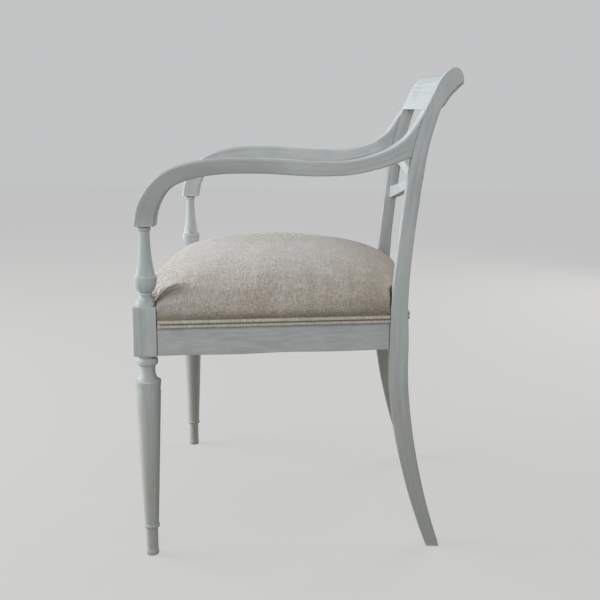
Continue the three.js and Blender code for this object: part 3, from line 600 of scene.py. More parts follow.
def cut_away(piece, cutter):
    """Cuts the cutter's form out of a piece"""
    select_only(piece)
    apply_modifier(piece, "BOOLEAN", operation="DIFFERENCE", solver="EXACT", object=cutter)
    bpy.data.objects.remove(cutter)
    settle(piece, 50)


# The end is sawn to the post's curved front face, just clear of it
saw_depth = 0.14
saw_stations = []
for z in np.linspace(0.60, 0.80, 25):
    face = rear_front + post_front(z) - joint_gap
    saw_stations.append(station(rear_x, 2 * rear_width, (face, z), (face + saw_depth, z)))
post_form = draw_section("post_form", saw_stations[0][:3], 2 * rear_width, saw_depth, arm_ease)
draw_out(saw_stations)
settle(post_form)
cut_away(arm_left, post_form)
arm_right = copy_across(arm_left, "arm_right_piece")
arm_places = np.array(arm_line)[:, :2]
arm_steps = np.diff(arm_places, axis=0)
arm_reach = np.linalg.norm(arm_steps, axis=1)
arm_lengths = np.concatenate([[0], np.cumsum(arm_reach)])


def arm_grain(p):
    """Along the arm's own line and off it, so that the brush strokes follow its curve"""
    from_start = np.array([p.y, p.z]) - arm_places[:-1]
    along = np.clip(np.sum(from_start * arm_steps, axis=1) / arm_reach ** 2, 0, 1)
    off = from_start - arm_steps * along[:, None]
    i = int(np.argmin(np.sum(off ** 2, axis=1)))
    rise = (arm_steps[i][0] * off[i][1] - arm_steps[i][1] * off[i][0]) / arm_reach[i]
    return (arm_lengths[i] + along[i] * arm_reach[i], abs(p.x) - arm_x(p.y), rise)


def arm_wear(p):
    """A little at the lower end, and more along the joint with the post"""
    joint = p.y > rear_front + post_front(p.z) - joint_gap - 0.0006
    return 0.60 if joint else 0.18 * max(0.0, 1 - (p.z - arm_low.z) / 0.006)


for piece, side, start in ((arm_left, "left", 9.2), (arm_right, "right", 11.9)):
    paint_wood(piece, f"arm_{side}", arm_grain, start, arm_wear)

# Seat rails. Four planks are tenoned into the legs, and the side rails narrow the seat towards the
# back. Their arrises are barely broken, and the lower edges wave a little where they were planed.
rail_thickness = 0.024
back_rail_thickness = 0.020
rail_arris = 0.0009
rail_setback = 0.005
dip_reach = 0.045

# The faces of the legs towards the seat, with the gap that is kept from them
leg_inner_x = leg_x - block_size / 2 - joint_gap
leg_back_y = leg_y + block_size / 2 + joint_gap
rear_inner_x = rear_low.x - joint_gap
rear_front_y = rear_front - joint_gap

side_front_x = leg_x + block_size / 2 - rail_setback
side_rear_x = rear_high.x - rail_setback
side_slope = (side_rear_x - side_front_x) / (rear_front - leg_y - block_size / 2)
across_side = rail_thickness * math.hypot(1, side_slope)
front_face = leg_y - block_size / 2 + rail_setback
back_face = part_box("back_rail")[1].y


def side_face(y):
    return side_front_x + side_slope * (y - leg_y - block_size / 2)


def rail(name, plan, dips):
    """A plank over four corners, in the order of a cube's own, with its lower edge dipped in places"""
    bpy.ops.object.select_all(action="DESELECT")
    bpy.ops.mesh.primitive_cube_add(size=1, location=(0, 0, 0))
    piece = named(name)
    corners = [(*corner, height) for corner in plan for height in (rail_low.z, rail_high.z)]
    for vertex, corner in zip(piece.data.vertices, corners):
        vertex.co = corner
    bpy.ops.object.mode_set(mode="EDIT")
    bpy.ops.mesh.subdivide(number_cuts=15)
    ease_edges(rail_arris, 2)
    for x, y, depth in dips:
        bpy.ops.mesh.select_all(action="DESELECT")
        bpy.ops.object.mode_set(mode="OBJECT")
        for vertex in piece.data.vertices:
            near = math.hypot(vertex.co.x - x, vertex.co.y - y) < 0.026
            vertex.select = near and vertex.co.z < rail_low.z + 0.003
        bpy.ops.object.mode_set(mode="EDIT")
        bpy.ops.mesh.select_mode(type="VERT")
        bpy.ops.transform.translate(
            value=(0, 0, depth),
            use_proportional_edit=True,
            proportional_edit_falloff="SMOOTH",
            proportional_size=dip_reach,
        )
    settle(piece, 50)
    return piece


side_plan = [(side_face(y) - inset, y) for inset in (across_side, 0) for y in (leg_back_y, rear_front_y)]
side_dips = [(0.24, -0.10, -0.0006), (0.23, -0.03, 0.0007), (0.215, 0.06, -0.0005), (0.255, -0.19, 0.0005)]
side_left = rail("rail_left", side_plan, side_dips)
side_right = copy_across(side_left, "rail_right")
front_plan = [(x, y) for x in (-leg_inner_x, leg_inner_x) for y in (front_face, front_face + rail_thickness)]
front_dips = [(-0.15, front_face, 0.0006), (0.02, front_face, -0.0006), (0.16, front_face, 0.0005)]
front_board = rail("rail_front", front_plan, front_dips)
back_inside = back_face - back_rail_thickness
back_plan = [(x, y) for x in (-rear_inner_x, rear_inner_x) for y in (back_inside, back_face)]
back_board = rail("rail_back", back_plan, [(-0.08, back_face, -0.0005), (0.1, back_face, 0.0006)])
for piece, node, start in ((side_left, "side_rail_left", 14.0), (side_right, "side_rail_right", 16.3)):
    paint_wood(piece, node, lambda p: (p.y, p.z, p.x), start)
for piece, node, start in ((front_board, "front_rail", 18.1), (back_board, "back_rail", 20.4)):
    paint_wood(piece, node, lambda p: (p.x, p.z, p.y), start)

# Crest rail. One thick board between the posts, hollowed across for the sitter's back and rolled
# over at the top in the same line as the scrolls. Its end section is drawn and run across.
crest_sag = 0.025
crest_thickness = 0.020
crest_turns = smooth_through([(a, b) for a, b, _, _ in scroll_pairs], 3)
crest_back = smooth_through([(c, d) for _, _, c, d in scroll_pairs[1:]], 3)
crest_outline = [on_scroll(back, up) for back, up in [*crest_turns, *reversed(crest_back)]]
crest_outline.append((rear_front + post_lean + crest_thickness, crest_foot))


def crest_bend(x):
    return crest_sag * (1 - (x / rear_low.x) ** 2)


crest = draw_line("crest", [(-rear_inner_x, y, z) for y, z in crest_outline])
bpy.ops.mesh.select_all(action="SELECT")
bpy.ops.mesh.edge_face_add()
crest_places = np.linspace(-rear_inner_x, rear_inner_x, 41)
for before, after in zip(crest_places, crest_places[1:]):
    bend = crest_bend(after) - crest_bend(before)
    bpy.ops.mesh.extrude_region_move(TRANSFORM_OT_translate={"value": (after - before, bend, 0)})
settle(crest, 50)
paint_wood(crest, "crest_rail", lambda p: (p.x, p.z, p.y - crest_bend(p.x)), 22.7)

# Saltire. Two thin bars cross below the crest, halved into each other, and widen towards the
# posts. Each is bent like the crest, so the back stays hollow.
bar_height = 0.0155
bar_flare = 0.0075
bar_thickness = 0.0145
bar_recess = 0.009
bar_sag = 0.019
bar_spread = 0.036
cross_low, cross_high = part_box("cross_bar_rising")
cross_middle = (cross_low.z + cross_high.z) / 2


def bar_stations(rise, thinner=0.0, shift=0.0, grow=0.0):
    """Stations across the back for one bar, or for a part of its thickness"""
    places = []
    for x in np.linspace(-rear_inner_x, rear_inner_x, 37):
        share = x / rear_low.x
        z = cross_middle + rise * bar_spread * share
        height = bar_height + bar_flare * abs(share) ** 1.5 + grow
        hollow_back = rear_front + post_front(z) + bar_recess + bar_sag * (1 - share ** 2)
        y = hollow_back + bar_thickness / 2 + shift
        places.append((x, y, z, height, bar_thickness - thinner))
    return places


def bar(name, places):
    """A bar drawn across from one post to the other"""
    x, y, z, height, thickness = places[0]
    bpy.ops.object.select_all(action="DESELECT")
    bpy.ops.mesh.primitive_plane_add(size=1, location=(x, y, z), rotation=(0, math.pi / 2, 0))
    piece = named(name)
    bpy.ops.object.mode_set(mode="EDIT")
    bpy.ops.transform.resize(value=(1, thickness, height), center_override=(x, y, z))
    bpy.ops.mesh.subdivide(number_cuts=5)
    for before, after in zip(places, places[1:]):
        middle = after[:3]
        step = [b - a for a, b in zip(before[:3], middle)]
        bpy.ops.mesh.extrude_region_move(TRANSFORM_OT_translate={"value": step})
        grown = (1, after[4] / before[4], after[3] / before[3])
        bpy.ops.transform.resize(value=grown, center_override=middle)
    ease_edges(rail_arris, 2)
    settle(piece, 50)
    return piece


rising = bar("bar_rising", bar_stations(1))
falling = bar("bar_falling", bar_stations(-1))
half = bar_thickness / 2
cut_away(rising, bar("falling_half", bar_stations(-1, half - joint_gap, half / 2, joint_gap)))
cut_away(falling, bar("rising_half", bar_stations(1, half - joint_gap, -half / 2, joint_gap)))
for piece, node, start in ((rising, "cross_bar_rising", 25.2), (falling, "cross_bar_falling", 27.8)):
    paint_wood(piece, node, lambda p: (p.x, p.z * 1.3, p.y), start)

# Corner blocks. Four blocks of plain beech are glued into the corners inside the rails, and one
# steel screw through each draws it up to the leg. Their shapes are the frame's own.
def beech_finish():
    """Sawn beech: pale, a little pink, with short dark flecks along the grain"""
    beech = Finish("sawn beech", IOR=1.45, Specular_IOR_Level=0.3)
    place = beech.place()
    rings = beech.noise(place, (12, 12, 150), 3.0, 0.55)
    flecks = beech.noise(place, (160, 160, 1300), 2.0, 0.5)
    blotches = beech.noise(place, 30.0, 2.0, 0.5)
    body = beech.blend(rings.between(0.3, 0.7), (0.300, 0.185, 0.100), (0.470, 0.325, 0.195))
    flecked = beech.blend(flecks.between(0.60, 0.72) * 0.6, body, (0.170, 0.095, 0.045))
    stained = beech.blend(blotches.between(0.5, 0.75) * 0.35, flecked, (0.200, 0.140, 0.090))
    return beech.surface(stained, 0.68 + rings * 0.12, rings * 0.4 + flecks * 0.4, 0.0004)


def screw_finish():
    """Old steel, dulled and spotted with rust"""
    steel = Finish("dulled steel", Metallic=1.0)
    rust = steel.noise(steel.place(), 420.0, 3.0, 0.6).between(0.5, 0.66)
    scratches = steel.noise(steel.place(), (2600, 2600, 300), 2.0, 0.5)
    colour = steel.blend(rust * 0.8, (0.300, 0.290, 0.275), (0.130, 0.062, 0.032))
    return steel.surface(colour, 0.34 + rust * 0.42, scratches + rust, 0.00008)


for kind, finish in (("block", beech_finish()), ("screw", screw_finish())):
    for corner in ("front_left", "front_right", "rear_left", "rear_right"):
        for slot in bpy.data.objects[f"corner_{kind}_{corner}"].material_slots:
            slot.material = finish

# Webbing. Nine straps of jute are strained over the rails and tacked down, five from front to back
# and four across, laid over and under each other. Each is a thin herringbone strip.
strap_width = 0.050
strap_thickness = 0.0016
strap_turn = 0.003
strap_levels = (
    rail_high.z + joint_gap + strap_thickness / 2,
    rail_high.z + 2 * joint_gap + strap_thickness * 1.5,
)
lengthwise_boxes = [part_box(f"webbing_lengthwise_{i + 1}") for i in range(5)]
crosswise_boxes = [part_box(f"webbing_crosswise_{i + 1}") for i in range(4)]


def jute_finish():
    """Herringbone jute: twill that turns about at each rib, and closer edges"""
    jute = Finish("herringbone jute", IOR=1.45, Specular_IOR_Level=0.15)
    along, across, _ = jute.axes(jute.attribute("run", "Vector"))
    rib = jute.maths("PINGPONG", across, 0.005)
    twill = jute.maths("SINE", (along + rib) * (math.tau / 0.0034))
    yarn = jute.maths("SINE", across * (math.tau / 0.0017))
    fuzz = jute.noise(jute.place(), 900.0, 2.0, 0.6)
    clouds = jute.noise(jute.place(), 22.0, 3.0, 0.55)
    edge = jute.maths("ABSOLUTE", across).between(strap_width * 0.44, strap_width * 0.46)
    relief = twill * 0.35 + yarn * 0.2 + fuzz * 0.5
    tone = (relief * 0.5 + clouds * 0.5 + 0.12).between(0.0, 0.9)
    body = jute.blend(tone, (0.165, 0.105, 0.050), (0.440, 0.320, 0.180))
    edged = jute.blend(edge * 0.5, body, (0.200, 0.130, 0.070))
    return jute.surface(edged, 0.9 - fuzz * 0.06, relief, 0.0007)


jute = jute_finish()


def middles(boxes, axis):
    return [(low[axis] + high[axis]) / 2 for low, high in boxes]


def strap(which, start, end, crossings, first_over, place):
    """A strap drawn along its own line, spread to its width and given its thickness"""
    half = strap_width / 2 + strap_turn
    knots = [(start, 0)]
    for i, crossing in enumerate(crossings):
        over = int((i % 2 == 0) == first_over)
        knots += [(crossing - half, over), (crossing + half, over)]
    knots.append((end, 0))
    line = []
    for (a, low), (b, high) in zip(knots, knots[1:]):
        for t in np.linspace(0, 1, 6)[:-1]:
            share = low + (high - low) * smooth_rise(t)
            line.append((a + (b - a) * t, strap_levels[0] + share * (strap_levels[1] - strap_levels[0])))
    line.append((end, strap_levels[0]))
    piece = draw_line(f"strap_{which}", [place(s, -strap_width / 2, z) for s, z in line])
    bpy.ops.mesh.select_all(action="SELECT")
    first, last = place(0, -strap_width / 2, 0), place(0, strap_width / 2, 0)
    strips = 4
    step = [(b - a) / strips for a, b in zip(first, last)]
    for _ in range(strips):
        bpy.ops.mesh.extrude_edges_move(TRANSFORM_OT_translate={"value": step})
    bpy.ops.object.mode_set(mode="OBJECT")
    apply_modifier(piece, "SOLIDIFY", thickness=strap_thickness, offset=0)
    settle(piece, 50)
    origin = np.array(place(0, 0, 0))
    ahead = np.array(place(1, 0, 0)) - origin
    aside = np.array(place(0, 1, 0)) - origin
    places = np.array([v.co[:] for v in piece.data.vertices]) - origin
    run = np.column_stack([places @ ahead, places @ aside, np.zeros(len(places))])
    store(piece, "run", "FLOAT_VECTOR", run)
    stand_for(piece, jute, "jute_webbing", f"webbing_{which}")


crosswise_middles = middles(crosswise_boxes, 1)
for i, (low, high) in enumerate(lengthwise_boxes):
    middle = (low.x + high.x) / 2
    strap(f"lengthwise_{i + 1}", low.y, high.y, crosswise_middles, i % 2 == 0,
          lambda s, t, z: (middle - t, s, z))
lengthwise_middles = middles(lengthwise_boxes, 0)
for i, (low, high) in enumerate(crosswise_boxes):
    middle = (low.y + high.y) / 2
    strap(f"crosswise_{i + 1}", low.x, high.x, lengthwise_middles, i % 2 == 1,
          lambda s, t, z: (s, middle + t, z))

# Hessian. One open cloth of coarse jute lies over the webbing, cut round the legs and tacked to the
# rails. It dips a little between the straps.
hessian_low, hessian_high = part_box("hessian")
hessian_thickness = hessian_high.z - hessian_low.z
hessian_dip = 0.0007
side_margin = side_face(leg_back_y) - hessian_high.x


def hessian_finish():
    """Plain open weave with uneven yarns and dark gaps"""
    cloth = Finish("coarse hessian", IOR=1.45, Specular_IOR_Level=0.12)
    place = cloth.place()
    across, back, _ = cloth.axes(place)
    wander = cloth.noise(place, (40, 40, 1), 2.0, 0.5) * 0.0012
    warp = cloth.maths("SINE", (across + wander) * (math.tau / 0.0022))
    weft = cloth.maths("SINE", (back + wander) * (math.tau / 0.0024))
    fuzz = cloth.noise(place, 800.0, 2.0, 0.6)
    clouds = cloth.noise(place, 18.0, 3.0, 0.55)
    relief = cloth.maths("MAXIMUM", warp, weft) * 0.6 + fuzz * 0.5
    tone = (relief * 0.55 + clouds * 0.35).between(-0.1, 0.9)
    colour = cloth.blend(tone, (0.120, 0.078, 0.040), (0.430, 0.320, 0.190))
    return cloth.surface(colour, 0.93 - fuzz * 0.05, relief, 0.0006)


bpy.ops.object.select_all(action="DESELECT")
bpy.ops.mesh.primitive_grid_add(x_subdivisions=96, y_subdivisions=96, size=2)
hessian = named("hessian_cloth")
corner_rows = (leg_back_y, rear_front_y)
rows = [*np.linspace(hessian_low.y, hessian_high.y, 93), *corner_rows, *(y + 1e-5 for y in corner_rows)]
rows.sort()


def hessian_half(y):
    """Half the cloth's width at a place between the front and the back rail"""
    if y <= leg_back_y:
        return leg_inner_x
    return side_face(y) - side_margin if y <= rear_front_y else rear_inner_x


def gap_share(place, strap_middles):
    """1 midway between two straps, and 0 where a strap lies below"""
    nearest = min(abs(place - middle) for middle in strap_middles)
    return min(max((nearest - strap_width / 2) / 0.010, 0.0), 1.0)


for vertex in hessian.data.vertices:
    u, v = vertex.co.x, vertex.co.y
    y = rows[round((v + 1) / 2 * (len(rows) - 1))]
    x = u * hessian_half(y)
    dip = hessian_dip * gap_share(x, lengthwise_middles) * gap_share(y, crosswise_middles)
    vertex.co = (x, y, (hessian_low.z + hessian_high.z) / 2 - dip)
select_only(hessian)
apply_modifier(hessian, "SOLIDIFY", thickness=hessian_thickness, offset=0)
settle(hessian, 50)
halves = [hessian_half(y) for y in rows]
hessian_area = sum((b - a) * (p + q) for a, b, p, q in zip(rows, rows[1:], halves, halves[1:]))
hessian_flat = (2 * max(halves), rows[-1] - rows[0])
stand_for(hessian, hessian_finish(), "hessian_cloth", "hessian")

# Seat. Curled hair is built up on the hessian and covered in slubby linen, which is drawn down over
# the rails and tacked along its hem. At each front leg the cloth is cut and folded: a tongue of it
# lies against the baluster, with a deep crease running back below it.
cover_thickness = 0.002
hem_low, seat_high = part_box("seat_cover")
padding_low, padding_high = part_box("seat_padding")
piping_low, piping_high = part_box("piping_front")
skirt_stand = cover_thickness + joint_gap
seat_voxel = 0.005
seat_pressure = 4.0
seat_cap = 0.007
simulated_frames = 20
pressed_margin = 0.018
corner_reach = 0.012
corner_draw = 0.03
leg_clearance = 0.0002
tongue_height = 0.4430
tongue_reach = (0.020, 0.012, 0.013)
tongue_lift = 0.0075
crease_depth = 0.0095
crease_above, crease_below = 0.0020, 0.0058

# The swellings beside the crease: how high each is, how far it lies over the crease, and its width
crease_swells = ((0.0050, 0.0065, 0.0055), (0.0028, -0.0150, 0.0080))


def linen_finish():
    """Warp and weft of uneven flax: fine threads, longer thick slubs, and soiled where hands rub it near the
    hem, with painted shade there too; painted light on the crown and the front, and painted shade at the
    back, in the creases and where other parts close in
    """
    linen = Finish(
        "slubby linen", IOR=1.45, Specular_IOR_Level=0.12, Sheen_Weight=0.25, Sheen_Roughness=0.5
    )
    place = linen.place()
    facing = linen.axes(linen.node("ShaderNodeNewGeometry", {}, {}, "Normal"))
    threads, slubs, broad = 0.0, 0.0, 0.0
    for axis, coarse in ((1, 1.0), (0, 0.7), (2, 0.7)):
        shown = 1.0 - facing[axis] * facing[axis]

        def run(thin, length, detail=2.0):
            stretch = [1 / length] * 3
            stretch[axis] = 1 / thin
            return linen.noise(place, tuple(stretch), detail, 0.5)

        threads = shown * (run(0.0011, 0.0075) - 0.5) + threads
        slubs = shown * (run(0.0022, 0.014, 3.0).between(0.36, 0.68) - 0.5) * coarse + slubs
        broad = shown * (run(0.012, 0.1) - 0.5) + broad
    mottle = linen.noise(place, 26.0, 3.0, 0.6)
    _, back, up = linen.axes(place)
    low = 1.0 - up.between(piping_high.z + 0.002, piping_high.z + 0.019)
    dots = linen.noise(place, 560.0, 1.0, 0.5).between(0.36, 0.64) - 0.5
    tone = threads * 1.1 + dots * (0.42 + low * 0.80) + slubs * 0.28 + broad * 0.5 + mottle * 0.3
    tone = (tone + 0.38).between(0.0, 1.0)
    body = linen.blend(tone, (0.485, 0.418, 0.348), (0.865, 0.787, 0.705))
    # Painted light: the crown and the front of the seat, towards the window, are blended towards near-white
    top_painted_light = up.between(0.458, 0.500) * 0.38
    front_painted_light = 1.0 - back.between(leg_y, leg_y + 0.16)
    crown = top_painted_light + front_painted_light * 0.30 + top_painted_light * tone * 0.4
    body = linen.blend(crown, body, (0.850, 0.845, 0.825))
    # Painted shade: the back of the seat is darker and browner
    body = linen.blend(back.between(0.01, 0.15) * 0.34, body, (0.400, 0.330, 0.235))
    # Towards the hem the linen is darker and browner: dirt, and painted shade
    wear_dirt_and_painted_light = linen.blend(low * (0.42 + mottle * 0.50), body, (0.230, 0.186, 0.112))
    # Painted shade where other parts close in on the linen
    dirtied_and_shaded = linen.blend(linen.hidden(0.012).between(0.35, 0.95) * 0.60, wear_dirt_and_painted_light, (0.190, 0.125, 0.065))
    # Painted shadow in the crease, from the share kept on each vertex
    dirtied_and_shaded = linen.blend(linen.attribute("crease_shade", "Fac") * 0.85, dirtied_and_shaded, (0.215, 0.130, 0.055))
    relief = threads * 0.8 + slubs * 0.5 + dots * 0.5
    return linen.surface(dirtied_and_shaded, 0.92 - tone * 0.06, relief, 0.0011)


seat = bpy.data.objects.new("seat", bpy.data.objects["seat_padding"].data.copy())
bpy.context.collection.objects.link(seat)
select_only(seat)
bpy.ops.object.mode_set(mode="EDIT")
bpy.ops.mesh.select_all(action="SELECT")
bpy.ops.mesh.remove_doubles(threshold=1e-5)
bpy.ops.mesh.normals_make_consistent(inside=False)
bpy.ops.mesh.select_all(action="DESELECT")
bpy.ops.object.mode_set(mode="OBJECT")
for face in seat.data.polygons:
    face.select = face.normal.z < -0.9 and face.center.z < padding_low.z + 0.0005
bpy.ops.object.mode_set(mode="EDIT")
bpy.ops.mesh.select_mode(type="FACE")
for drop, narrow in ((padding_low.z - rail_high.z, 0.990), (rail_high.z - hem_low.z + 0.006, 1.0)):
    bpy.ops.mesh.extrude_region_move(TRANSFORM_OT_translate={"value": (0, 0, -drop)})
    middle_y = (padding_low.y + padding_high.y) / 2
    bpy.ops.transform.resize(value=(narrow, narrow, 1), center_override=(0, middle_y, 0.4))
bpy.ops.object.mode_set(mode="OBJECT")
apply_modifier(seat, "REMESH", mode="VOXEL", voxel_size=seat_voxel)

# The crease's line back from each front leg, as y from the leg's middle and z
crease_steps = [(0.0145, 0.4310), (0.0178, 0.4352), (0.0215, 0.4408), (0.0260, 0.4448), (0.0299, 0.4479),
                (0.0338, 0.4502), (0.0395, 0.4525), (0.0451, 0.4546), (0.0605, 0.4568), (0.0880, 0.4574)]
crease_places = [leg_y + step for step, _ in crease_steps]
crease_heights = [height for _, height in crease_steps]
crease_start, crease_end = crease_places[0], crease_places[-1]
crease_length = crease_end - crease_start


def crease_height(y):
    return float(np.interp(y, crease_places, crease_heights))


def fade(share):
    return 1 - smooth_rise(share)


def near_legs(x, y):
    """How far a place is outside the notches round the legs; negative inside them"""
    front = max(leg_inner_x - abs(x), y - leg_back_y)
    rear = max(rear_inner_x - abs(x), rear_front_y - y)
    return min(front, rear)


held = seat.vertex_groups.new(name="held")
for vertex in seat.data.vertices:
    x, y, z = vertex.co
    weight = 1.0 if z < piping_high.z + 0.002 or near_legs(x, y) < 0.006 else 0.0
    if abs(x) > 0.20 and crease_start < y < crease_end and abs(z - crease_height(y)) < 0.004:
        weight = max(weight, fade((y - crease_start) / crease_length))
    held.add([vertex.index], weight, "REPLACE")

start = np.array([v.co[:] for v in seat.data.vertices])
cloth = seat.modifiers.new("stuffing", "CLOTH")
settings = {
    "quality": 4,
    "mass": 0.2,
    "tension_stiffness": 20,
    "compression_stiffness": 20,
    "shear_stiffness": 8,
    "bending_stiffness": 1.5,
    "vertex_group_mass": held.name,
    "pin_stiffness": 1.0,
    "use_pressure": True,
    "uniform_pressure_force": seat_pressure,
}
for name, setting in settings.items():
    setattr(cloth.settings, name, setting)
cloth.settings.effector_weights.gravity = 0
cloth.point_cache.frame_start = 1
cloth.point_cache.frame_end = simulated_frames
for number in range(1, simulated_frames + 1):
    bpy.context.scene.frame_set(number)
bpy.ops.object.modifier_apply(modifier=cloth.name)
bpy.context.scene.frame_set(1)
moved = np.array([v.co[:] for v in seat.data.vertices]) - start
length = np.linalg.norm(moved, axis=1)
scale = np.minimum(1, seat_cap / np.maximum(length, 1e-9))
for vertex, place, step in zip(seat.data.vertices, start, moved * scale[:, None]):
    vertex.co = place + step

apply_modifier(seat, "SUBSURF", levels=1, render_levels=1)

# The mesh is made finer again where the crease will run
for face in seat.data.polygons:
    x, y, z = face.center
    face.select = abs(x) > 0.205 and y < crease_end + 0.01 and 0.425 < z < 0.475
bpy.ops.object.mode_set(mode="EDIT")
bpy.ops.mesh.select_mode(type="FACE")
bpy.ops.mesh.subdivide(number_cuts=1, smoothness=0)
bpy.ops.object.mode_set(mode="OBJECT")

# Where the walls beside the legs stand, and how far the sides bulge at each height near a leg
beside = [v.co for v in seat.data.vertices if rail_high.z < v.co.z < crease_heights[2]]
wall_front = min(p.y for p in beside if abs(p.x) > leg_x)
wall_rear = max(p.y for p in beside if abs(p.x) > rear_x)
inner_front = max(abs(p.x) for p in beside if p.y < leg_y)
inner_rear = max(abs(p.x) for p in beside if p.y > rear_front_y + 0.01)
bulge_heights = np.linspace(hem_low.z, seat_high.z, 36)


def bulges(near, far):
    """The side's bulge over the rail at each height, from the stretch between two places"""
    found = np.full(len(bulge_heights), -1.0)
    for p in (v.co for v in seat.data.vertices):
        if near < p.y < far:
            i = int(round((p.z - hem_low.z) / (bulge_heights[1] - bulge_heights[0])))
            if 0 <= i < len(found):
                found[i] = max(found[i], abs(p.x) - side_face(p.y))
    known = found > -0.2
    return np.interp(bulge_heights, bulge_heights[known], found[known])


front_bulges = bulges(wall_front + pressed_margin, wall_front + 2 * pressed_margin)
rear_bulges = bulges(wall_rear - 2 * pressed_margin, wall_rear - pressed_margin)

# At the front and the rear legs: where the seat stays clear of the leg, where its walls stood, which
# way the seat lies, how far the corner is drawn square and from what height, and the side's bulge
leg_corners = (
    (leg_inner_x, leg_back_y, wall_front, inner_front, 1, 0.85, 0.436, front_bulges),
    (rear_inner_x, rear_front_y, wall_rear, inner_rear, -1, 0.7, 0.480, rear_bulges),
)


def squarer(a, b, share):
    """Moves a place out towards the corner; a and b run inwards from the corner's two faces"""
    p, q = corner_reach - a, corner_reach - b
    if min(p, q) <= 0 or min(a, b) < -0.001:
        return a, b
    grow = math.hypot(p, q) / max(p, q)
    square_a = max(corner_reach - p * grow, min(a, 0))
    square_b = max(corner_reach - q * grow, min(b, 0))
    return a + (square_a - a) * share, b + (square_b - b) * share


turned_line = np.array(baluster[1:-1])


def keep_clear(width, y, z):
    """Out of the space round the legs: square beside block and post, round beside the baluster"""
    if z > block_top + 0.0004 and y < 0:
        reach = float(np.interp(z, turned_line[:, 1], turned_line[:, 0])) + 0.0008
        off_x, off_y = width - leg_x, y - leg_y
        away = math.hypot(off_x, off_y)
        if away < reach:
            return leg_x + off_x * reach / away, leg_y + off_y * reach / away
        return width, y
    clear_x, clear_y, _, _, inwards, *_ = leg_corners[0 if y < 0 else 1]
    deep_x, deep_y = width - clear_x, (clear_y - y) * inwards
    if min(deep_x, deep_y) > -leg_clearance:
        if deep_x < deep_y:
            return clear_x - leg_clearance, y
        return width, clear_y + inwards * leg_clearance
    return width, y


crease_shades = []
for vertex in seat.data.vertices:
    x, y, z = vertex.co
    side = math.copysign(1, x)
    width = abs(x)

    # The walls beside the legs come close to them, and the corners there are drawn tight
    for clear_x, clear_y, wall, inner, inwards, squared, square_from, bulge in leg_corners:
        if width > inner - 0.001 and (y - wall) * inwards < corner_draw:
            short = (wall - clear_y) * inwards - leg_clearance
            y -= short * inwards * fade((y - wall) * inwards / corner_draw)
        if (y - wall) * inwards < -0.001 and width > inner - corner_draw:
            width += (clear_x - leg_clearance - inner) * fade((inner - width) / corner_draw)
        if width > clear_x:
            tight = squared * fade((z - square_from) / 0.012)
            edge = side_face(y) + float(np.interp(z, bulge_heights, bulge))
            a, b = squarer(edge - width, (y - clear_y) * inwards - leg_clearance, tight)
            width = edge - a
            y = clear_y + inwards * (leg_clearance + b)

    # The front is drawn back between the crown and the legs
    pull = fade((leg_inner_x - width) / 0.075) * fade((y - leg_y + 0.03) / 0.07)
    pull *= fade((width - leg_inner_x) / 0.012)
    y += 0.017 * pull * (1 - fade((z - rail_high.z) / 0.012))

    # The tongue against the baluster, the crease under it, and the painted shadow kept along the crease
    off_tongue = (width - leg_x - 0.012, y - leg_back_y, z - tongue_height)
    y -= tongue_lift * fade(math.hypot(*(off / reach for off, reach in zip(off_tongue, tongue_reach))))
    crease_shade = 0.0
    if y > crease_start - 0.009:
        depth = fade((y - crease_start - 0.008) / crease_length) * fade((0.235 - width) / 0.03)
        off = z - crease_height(y)
        groove_width = crease_above if off > 0 else crease_below
        width -= crease_depth * depth * math.exp(-((off / groove_width) ** 2))
        for swell, over, spread in crease_swells:
            width += swell * depth * math.exp(-(((off - over) / spread) ** 2))
        # How much painted shadow the crease gets here, most just below its line
        along = fade((y - crease_start - 0.012) / crease_length)
        crease_shade = along * math.exp(-(((off + 0.0035) / (0.0030 if off > -0.0035 else 0.0075)) ** 2))
    crease_shades.append(crease_shade)

    # The skirt lies flat on the rails under the piping
    if z < piping_high.z + 0.006:
        ease = fade((z - piping_high.z + 0.002) / 0.008)
        if width > leg_inner_x or (width > rear_inner_x and leg_back_y + 0.03 < y < rear_front_y):
            flat = side_face(y) + skirt_stand
            near_leg = min(y - leg_back_y, rear_front_y - y) < 0.006
            width += ((min(width, flat) if near_leg else flat) - width) * ease
        elif abs(y) > 0.1:
            y += (max(y, front_face - skirt_stand) - y) * ease
            y += (min(y, back_face + skirt_stand) - y) * ease
    width, y = keep_clear(width, y, z)
    vertex.co = (side * width, y, z)

# Each vertex keeps its share of the crease's painted shadow for the linen
store(seat, "crease_shade", "FLOAT", crease_shades)

# Below the hem the form is cut off, and the skirt gets its inner side and the pad its underside
bpy.ops.object.mode_set(mode="EDIT")
bpy.ops.mesh.select_all(action="SELECT")
bpy.ops.mesh.bisect(plane_co=(0, 0, hem_low.z + 0.0004), plane_no=(0, 0, 1), clear_inner=True)
inner_scale = (1 - cover_thickness / seat_high.x, 1 - cover_thickness / seat_high.y, 1)
bpy.ops.mesh.extrude_edges_move()
bpy.ops.transform.resize(value=inner_scale, center_override=(0, middle_y, hem_low.z))
bpy.ops.mesh.extrude_edges_move(TRANSFORM_OT_translate={"value": (0, 0, padding_low.z - hem_low.z)})
bpy.ops.mesh.edge_face_add()
settle(seat, 60)
stand_for(seat, linen_finish(), "linen", "seat_cover", "seat_padding")

# Double piping. Two cords are sewn side by side into one strip of the linen, which is glued along
# the lower edge of the cover on each side of the chair. Their ends are turned in and closed.
cord_radius = 0.0031
cord_rise = 0.0033
cord_stand = 0.0048
piping_flat = 0.00265
valley_stand = 0.0052
piping_middle = (piping_low.z + piping_high.z) / 2 + 0.0012
middle_out = cord_stand - 0.0006

# How thick the cords are at small distances from each end
end_shares = [(0.0, 0.62), (0.0004, 0.86), (0.0012, 1.03), (0.0028, 1.07), (0.0048, 1.02)]


